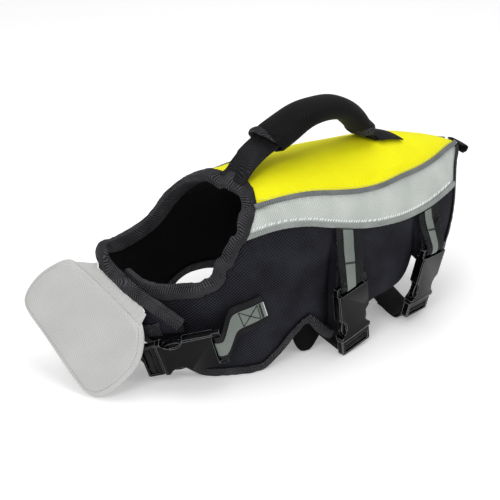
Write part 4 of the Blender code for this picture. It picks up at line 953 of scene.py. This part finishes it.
def growStrip(strip, line, down, out):
    # over the float, out at its upper left corner, and up under the neck tape
    points = pointsOf(strip)
    along = nearestOn(line, points)[0]
    depth = (points - floatCorner) @ down
    share = smooth((depth / mm - stripGrow["from"]) / stripGrow["over"])
    grow = (stripGrow["left"] + (stripGrow["right"] - stripGrow["left"]) * along / line["runs"][-1]) * mm
    points = points + down * (share * grow)[:, None]
    rel = (points - floatCorner) / mm
    x, y = rel @ floatAlong, rel @ down
    corner = smooth((y - stripCorner["from"]) / stripCorner["over"])
    corner = corner * smooth(1 - (x - stripCorner["left"]) / stripCorner["fade"])
    points = points - floatAlong * (corner * stripCorner["grow"] * mm)[:, None]
    under = smooth((x - stripUnder["first"]) / stripUnder["left_fade"])
    under = under * smooth((stripUnder["last"] - x) / stripUnder["right_fade"])
    under = under * smooth((stripUnder["down"] - y) / stripUnder["down_fade"])
    points = points - (down * stripUnder["grow"] + out * stripUnder["sink"]) * (under * mm)[:, None]
    setPoints(strip, points)


def restOn(strip, tree, out):
    # the strip's two faces lie a little above the float's cloth
    points = pointsOf(strip)
    front = (points - floatCorner) @ out > stripRest["front_from"] * mm
    for index, point in enumerate(points):
        found = tree.find_nearest(Vector(point), stripRest["look"] * mm)
        if found[0] is None:
            continue
        height = (point - np.array(found[0])) @ np.array(found[1])
        wanted = (stripRest["front"] if front[index] else stripRest["back"]) * mm
        if height < wanted:
            points[index] = point + np.array(found[1]) * (wanted - height)
    setPoints(strip, points)


def makeFloat():
    down, out = floatAxes()
    tree = treeOf(makeFloatPad(down))
    strip = copyOf("float_strip", "float_strip_cloth")
    line = paths["float_strip"] = middleLine(strip, "float_strip", stripCloth["step"])
    subdivide(strip, 3, crease=stripCloth["crease"])
    growStrip(strip, line, down, out)
    pucker(strip, line, stripCloth["reach"], stripCloth["depth"], stripCloth["wave"], stripCloth["seed"])
    restOn(strip, tree, out)
    mapByFacing(strip)
    dress(strip, floatCloth, "float_cloth", "float_strip")
    print("float made")


# handle: a folded hem with a rolled rim at each mouth of the sleeve

sleevePad = {"crease": 0.3, "sharpness": 60, "swell": 0.4, "swell_size": 40, "seed": 51, "fill": 0.6}
sleeveHem = {"width": 10.0, "rise": 0.9, "edge": 1.6, "roll": 1.3, "roll_at": 3.5, "roll_width": 3,
             "groove": 0.5, "groove_at": 0.6, "groove_width": 1.3}


def hemSleeve(piece):
    # the outer face rises, and the two ends of the sleeve are kept with its line
    line = paths["handle_sleeve"]
    points, normals = pointsOf(piece), normalsOf(piece)
    along = nearestOn(line, points)[0] / mm
    fromEnd = np.minimum(along - along.min(), along.max() - along)
    rise = smooth((sleeveHem["width"] - fromEnd) / sleeveHem["edge"]) * sleeveHem["rise"]
    rise += sleeveHem["roll"] * np.exp(-((fromEnd - sleeveHem["roll_at"]) / sleeveHem["roll_width"]) ** 2)
    pastHem = fromEnd - sleeveHem["width"] - sleeveHem["groove_at"]
    rise -= sleeveHem["groove"] * np.exp(-(pastHem / sleeveHem["groove_width"]) ** 2)
    centre = np.array([lineAt(line, a * mm)[0] for a in along])
    outward = np.einsum("ij,ij->i", normals, points - centre) > 0
    setPoints(piece, points + normals * (rise * outward * mm)[:, None])
    line["ends"] = along.min(), along.max()


def makeSleeve():
    sleeve = copyOf("handle_sleeve", "handle_sleeve_pad")
    subdivide(sleeve, 3, crease=sleevePad["crease"], sharpness=sleevePad["sharpness"])
    ripple(sleeve, sleevePad["swell"], sleevePad["swell_size"], sleevePad["seed"])
    line = paths["handle_sleeve"] = calm(paths["handle_strap"])
    hemSleeve(sleeve)
    mapByFacing(sleeve)
    dress(sleeve, neoprene, "neoprene", "handle_sleeve")
    sleeve.data.materials.append(tapeCloth)
    first, last = line["ends"]
    along = nearestOn(line, pointsOf(sleeve))[0] / mm
    for face in sleeve.data.polygons:
        run = along[face.vertices[0]]
        face.material_index = int(min(run - first, last - run) < sleeveHem["width"])


def makeHandle():
    makeSleeve()
    patch = copyOf("handle_patch", "handle_patch_web")
    subdivide(patch, 2, crease=0.95)
    mapByFacing(patch)
    dress(patch, webbingCloth, "webbing", "handle_patch")
    print("handle made")


def makeInnerFlap():
    flap = copyOf("inner_flap", "inner_flap_cloth")
    subdivide(flap, 2, crease=0.6)
    mapByFacing(flap)
    dress(flap, liningCloth, "black_cloth", "inner_flap")
    print("inner flap made")


# sewing: one stitch is modelled, and its copies follow a seam

stitch = {"segments": 6, "rings": 5, "flat": 0.9, "lift": 0.45}


def oneStitch():
    bpy.ops.object.select_all(action="DESELECT")
    bpy.ops.mesh.primitive_uv_sphere_add(
        segments=stitch["segments"], ring_count=stitch["rings"], radius=1.0, location=(0, 0, 0))
    piece = bpy.context.active_object
    bpy.ops.object.mode_set(mode="EDIT")
    bpy.ops.mesh.select_all(action="SELECT")
    bpy.ops.transform.rotate(value=math.pi / 2, orient_axis="Y", center_override=(0, 0, 0))
    bpy.ops.object.mode_set(mode="OBJECT")
    points = pointsOf(piece)
    faces = sorted(tuple(p.vertices) for p in piece.data.polygons)  # a new sphere's own order varies
    bpy.data.objects.remove(piece)
    return points, faces


stitchPoints, stitchFaces = oneStitch()


def sew(name, places, seam):
    # places are rows of (point, way along the seam, way out of the cloth)
    length, radius, slant = seam["length"] * mm, seam["radius"] * mm, seam.get("slant", 0)
    size = np.array((length / 2, radius, radius * stitch["flat"]))
    points, faces = [], []
    for place, way, out in places:
        out = unit(out)
        way = unit(way - out * (way @ out))
        turned = way * math.cos(slant) + np.cross(out, way) * math.sin(slant)
        turns = np.stack([turned, np.cross(out, turned), out])
        first = len(points) * len(stitchPoints)
        points.append(place + (stitchPoints * size) @ turns + out * radius * stitch["lift"])
        faces += [tuple(first + i for i in face) for face in stitchFaces]
    mesh = bpy.data.meshes.new(name)
    mesh.from_pydata(np.concatenate(points).tolist(), [], faces)
    mesh.shade_smooth()
    piece = bpy.data.objects.new(name, mesh)
    bpy.context.scene.collection.objects.link(piece)
    dress(piece, seam["thread"], seam["slot"])


def seamOn(tree, corners, pitch):
    # evenly spaced places on a surface, along straight runs between corners in metres
    places = []
    for start, end in zip(corners, corners[1:]):
        start, end = np.array(start), np.array(end)
        count = max(int(np.linalg.norm(end - start) / (pitch * mm)), 1)
        for k in range(count):
            point = start + (end - start) * (k + 0.5) / count
            found = tree.find_nearest(Vector(point))
            if found[0] is not None:
                places.append((np.array(found[0]), end - start, np.array(found[1])))
    return places


besideReach = {"above": 4, "nearest": 12}  # a place is sought from above the cloth, and no further off


def besideLine(tree, line, seam, outward=None):
    # a row of stitches beside a middle line, seen from outside
    places = []
    total = line["runs"][-1]
    for k in range(int(total / (seam["pitch"] * mm))):
        run = (k + 0.5) * seam["pitch"] * mm
        centre, side = lineAt(line, run)
        ahead = lineAt(line, min(run + mm, total))[0] - lineAt(line, max(run - mm, 0))[0]
        if not ahead.any():
            continue
        out = unit(np.cross(ahead, side))
        away = (centre - jacketAxis) if outward is None else np.array(outward)
        out = -out if out @ away < 0 else out
        side = -side if side[2] < 0 and outward is None else side
        place = centre + side * seam["beside"] * mm + out * besideReach["above"] * mm
        found = tree.find_nearest(Vector(place))
        if found[0] is not None and (found[3] or 0) < besideReach["nearest"] * mm:
            places.append((np.array(found[0]), ahead, np.array(found[1])))
    return places


strapSeam = {"over": 2, "above": 3}  # the way is taken over this length, and ends lie above the face


def endsAcross(line, run, reach):
    # the two edges of a strap at one place, a little above its outer face
    centre, way = lineAt(line, run * mm)
    out = unit(np.cross(wayAt(line, run * mm, strapSeam["over"] * mm), way))
    out = -out if out @ (centre - jacketAxis) < 0 else out
    lift = out * strapSeam["above"] * mm
    return centre - way * reach * mm + lift, centre + way * reach * mm + lift


def across(tree, line, seam, reach):
    # rows of stitches straight across a strap
    places = []
    for row in range(seam["rows"]):
        places += seamOn(tree, endsAcross(line, seam["run"] + row * seam["spacing"], reach), seam["pitch"])
    return places


def crossBox(tree, line, seam):
    # a box with a cross in it
    (a, b), (c, d) = (endsAcross(line, run, seam["reach"]) for run in (seam["first"], seam["last"]))
    places = []
    for ends in ((a, b), (c, d), (a, d), (b, c)):
        places += seamOn(tree, ends, seam["pitch"])
    return places


ring = {"turn": 0.16, "over": 3, "far": 40}  # the turn between two stitches is in radians


def roundSleeve(tree, line, run):
    # a ring of places round the sleeve
    centre, way = lineAt(line, run * mm)
    ahead = unit(wayAt(line, run * mm, ring["over"] * mm))
    up = np.cross(way, ahead)
    places = []
    for angle in np.arange(0, 2 * math.pi, ring["turn"]):
        out = way * math.cos(angle) + up * math.sin(angle)
        hit = tree.ray_cast(Vector(centre + out * ring["far"] * mm), Vector(-out), ring["far"] * mm)
        if hit[0] is not None:
            places.append((np.array(hit[0]), np.cross(ahead, out), np.array(hit[1])))
    return places


# the float's stitches run just inside its edge: along and down its face
floatEdge = (
    (96, 5), (106, 18), (114, 32), (117, 44), (114.5, 65), (110, 80), (102, 90), (90.5, 95),
    (53, 87), (19, 80.5), (-22, 70.5), (-30, 64), (-33, 52), (-31, 33), (-23, 14))


def roundFloat(tree, seam):
    down, out = floatAxes()
    corners = []
    for x, y in floatEdge:
        moveAlong, moveDown = spread(x, y)
        place = floatCorner + (floatAlong * x + down * y + out * seam["above"]) * mm
        corners.append(place + floatAlong * moveAlong + down * moveDown)
    return seamOn(tree, corners, seam["pitch"])


seams = {
    "band": {"thread": whiteThread, "slot": "grey_cloth", "length": 4.2, "radius": 0.72, "beside": 5.8,
             "pitch": 3.5, "slant": 0.9},
    "back": {"thread": yellowThread, "slot": "yellow_cloth", "length": 2.6, "radius": 0.5, "beside": 5.2,
             "pitch": 3.6},
    "tack": {"thread": blackThread, "slot": "webbing", "length": 2.0, "radius": 0.45, "rows": 2,
             "spacing": 1.2, "pitch": 1.6},
    "chest_box": {"thread": blackThread, "slot": "webbing", "length": 2.3, "radius": 0.5, "first": 8.5,
                  "last": 30, "reach": 9.4, "pitch": 2.0},
    "chest_bar": {"thread": blackThread, "slot": "webbing", "length": 2.0, "radius": 0.5, "run": 5.0,
                  "reach": 9.8, "rows": 2, "spacing": 1.2, "pitch": 1.6},
    "chest_end": {"thread": whiteThread, "slot": "reflective", "length": 2.0, "radius": 0.4, "run": 0.8,
                  "reach": 9.8, "rows": 1, "spacing": 1.2, "pitch": 1.6},
    "sleeve": {"thread": blackThread, "slot": "neoprene", "length": 2.4, "radius": 0.35, "inside_hem": 1},
    "float": {"thread": greyThread, "slot": "float_cloth", "length": 2.2, "radius": 0.26, "above": 8,
              "pitch": 3.4},
    "strip": {"thread": whiteThread, "slot": "float_cloth", "length": 3.2, "radius": 0.5, "beside": 7.5,
              "pitch": 2.6},
    "neck": {"thread": blackThread, "slot": "ribbed_tape", "length": 2.4, "radius": 0.3, "beside": 5.0,
             "pitch": 3.6},
    "hem": {"thread": blackThread, "slot": "ribbed_tape", "length": 2.4, "radius": 0.3, "beside": 3.4,
            "pitch": 3.6}}

# how far down its stripe each strap's tack lies
tacks = {"middle_strap": 32, "rear_strap": 21, "middle_belly_strap": 24, "rear_belly_strap": 20}
stripOutward = (0.3, -1, 0.3)


def surface(name):
    return treeOf(bpy.data.objects[name])


def sewPanels():
    for side, lean in (("left", 1), ("right", -1)):
        band = dict(seams["band"], slant=lean * seams["band"]["slant"])
        places = besideLine(surface(f"band_{side}_cloth"), paths[f"lower_piping_{side}"], band)
        sew(f"white_stitches_{side}", places, band)
        places = besideLine(surface("back_panel_cloth"), paths[f"upper_piping_{side}"], seams["back"])
        sew(f"yellow_stitches_{side}", places, seams["back"])


def sewStraps():
    for node, run in tacks.items():
        stripe = node + "_stripe"
        tack = dict(seams["tack"], run=run)
        reach = stripes[stripe][0] / 2
        sew(node + "_tack", across(surface(stripe + "_tape"), paths[stripe], tack, reach), tack)
    chest, line = surface("chest_strap_left_stripe_tape"), paths["chest_strap_left_stripe"]
    sew("chest_box", crossBox(chest, line, seams["chest_box"]), seams["chest_box"])
    for name in ("chest_bar", "chest_end"):
        sew(name, across(chest, line, seams[name], seams[name]["reach"]), seams[name])


def sewRest():
    sleeve, line = surface("handle_sleeve_pad"), paths["handle_sleeve"]
    first, last = line["ends"]
    places = roundSleeve(sleeve, line, first + sleeveHem["width"] - seams["sleeve"]["inside_hem"])
    places += roundSleeve(sleeve, line, last - sleeveHem["width"] + seams["sleeve"]["inside_hem"])
    sew("sleeve_stitches", places, seams["sleeve"])
    sew("float_stitches", roundFloat(surface("chin_float_pad"), seams["float"]), seams["float"])
    strip = besideLine(surface("float_strip_cloth"), paths["float_strip"], seams["strip"], stripOutward)
    sew("strip_edge", strip, seams["strip"])
    for node in ("neck_binding", "hem_binding_left", "hem_binding_right"):
        seam = seams[node.split("_")[0]]
        sew(node + "_stitches", besideLine(surface(node + "_tape"), paths[node], seam), seam)
    print("sewing made")


# studio: lights have a place, a width and a power, in metres and watts

view = {"azimuth": 59, "elevation": 28, "distance": 1.4, "target": (-0.0089, -0.0325, 0.105),
        "lens": 87.6, "sensor": 36, "nearest": 0.01}
floorLook = {"size": 8, "colour": (0.96, 0.96, 0.96, 1), "roughness": 0.9, "glow": 0.22}
lights = {
    "key": {"place": (0.9, -1.3, 1.7), "size": 0.9, "power": 10},
    "top": {"place": (-0.3, 0.3, 2.0), "size": 1.4, "power": 13},
    "fill": {"place": (1.6, 0.8, 0.9), "size": 1.0, "power": 4}}
lightTarget = Vector((0, 0, 0.1))
worldLight = {"colour": (1, 1, 1, 1), "strength": 0.55}


def makeFloor():
    bpy.ops.object.select_all(action="DESELECT")
    bpy.ops.mesh.primitive_plane_add(size=floorLook["size"], location=(0, 0, 0))
    floor = bpy.context.active_object
    floor.name = "floor"
    material = bpy.data.materials.new("pale floor")
    material.use_nodes = True
    shader = material.node_tree.nodes["Principled BSDF"]
    shader.inputs["Base Color"].default_value = floorLook["colour"]
    shader.inputs["Roughness"].default_value = floorLook["roughness"]
    shader.inputs["Emission Color"].default_value = (1, 1, 1, 1)
    shader.inputs["Emission Strength"].default_value = floorLook["glow"]
    floor.data.materials.append(material)


def makeLights():
    world = bpy.data.worlds.new("studio")
    world.use_nodes = True
    world.node_tree.nodes["Background"].inputs[0].default_value = worldLight["colour"]
    world.node_tree.nodes["Background"].inputs[1].default_value = worldLight["strength"]
    bpy.context.scene.world = world
    for name, light in lights.items():
        lamp = bpy.data.lights.new(name, "AREA")
        lamp.shape = "DISK"
        lamp.size = light["size"]
        lamp.energy = light["power"]
        holder = bpy.data.objects.new(name, lamp)
        holder.location = light["place"]
        holder.rotation_euler = (lightTarget - Vector(light["place"])).to_track_quat("-Z", "Y").to_euler()
        bpy.context.scene.collection.objects.link(holder)


def makeCamera():
    camera = bpy.data.objects.new("camera", bpy.data.cameras.new("camera"))
    bpy.context.scene.collection.objects.link(camera)
    turn, rise = math.radians(view["azimuth"]), math.radians(view["elevation"])
    back = Vector((math.sin(turn) * math.cos(rise), -math.cos(turn) * math.cos(rise), math.sin(rise)))
    camera.location = Vector(view["target"]) + back * view["distance"]
    camera.rotation_euler = back.to_track_quat("Z", "Y").to_euler()
    camera.data.lens = view["lens"]
    camera.data.sensor_width = view["sensor"]
    camera.data.clip_start = view["nearest"]
    bpy.context.scene.camera = camera
    bpy.context.scene.view_settings.view_transform = "Standard"
    bpy.context.scene.view_settings.look = "None"


# the neck tape's line comes first, because the panels wave with it, and the sewing comes last
tapeGuide()
makePiping()
makePanels()
makeTapes()
makeStraps()
makeBuckles()
makeFloat()
makeHandle()
makeInnerFlap()
meetTapes()
sewPanels()
sewStraps()
sewRest()
makeFloor()
makeLights()
makeCamera()
print("studio made")
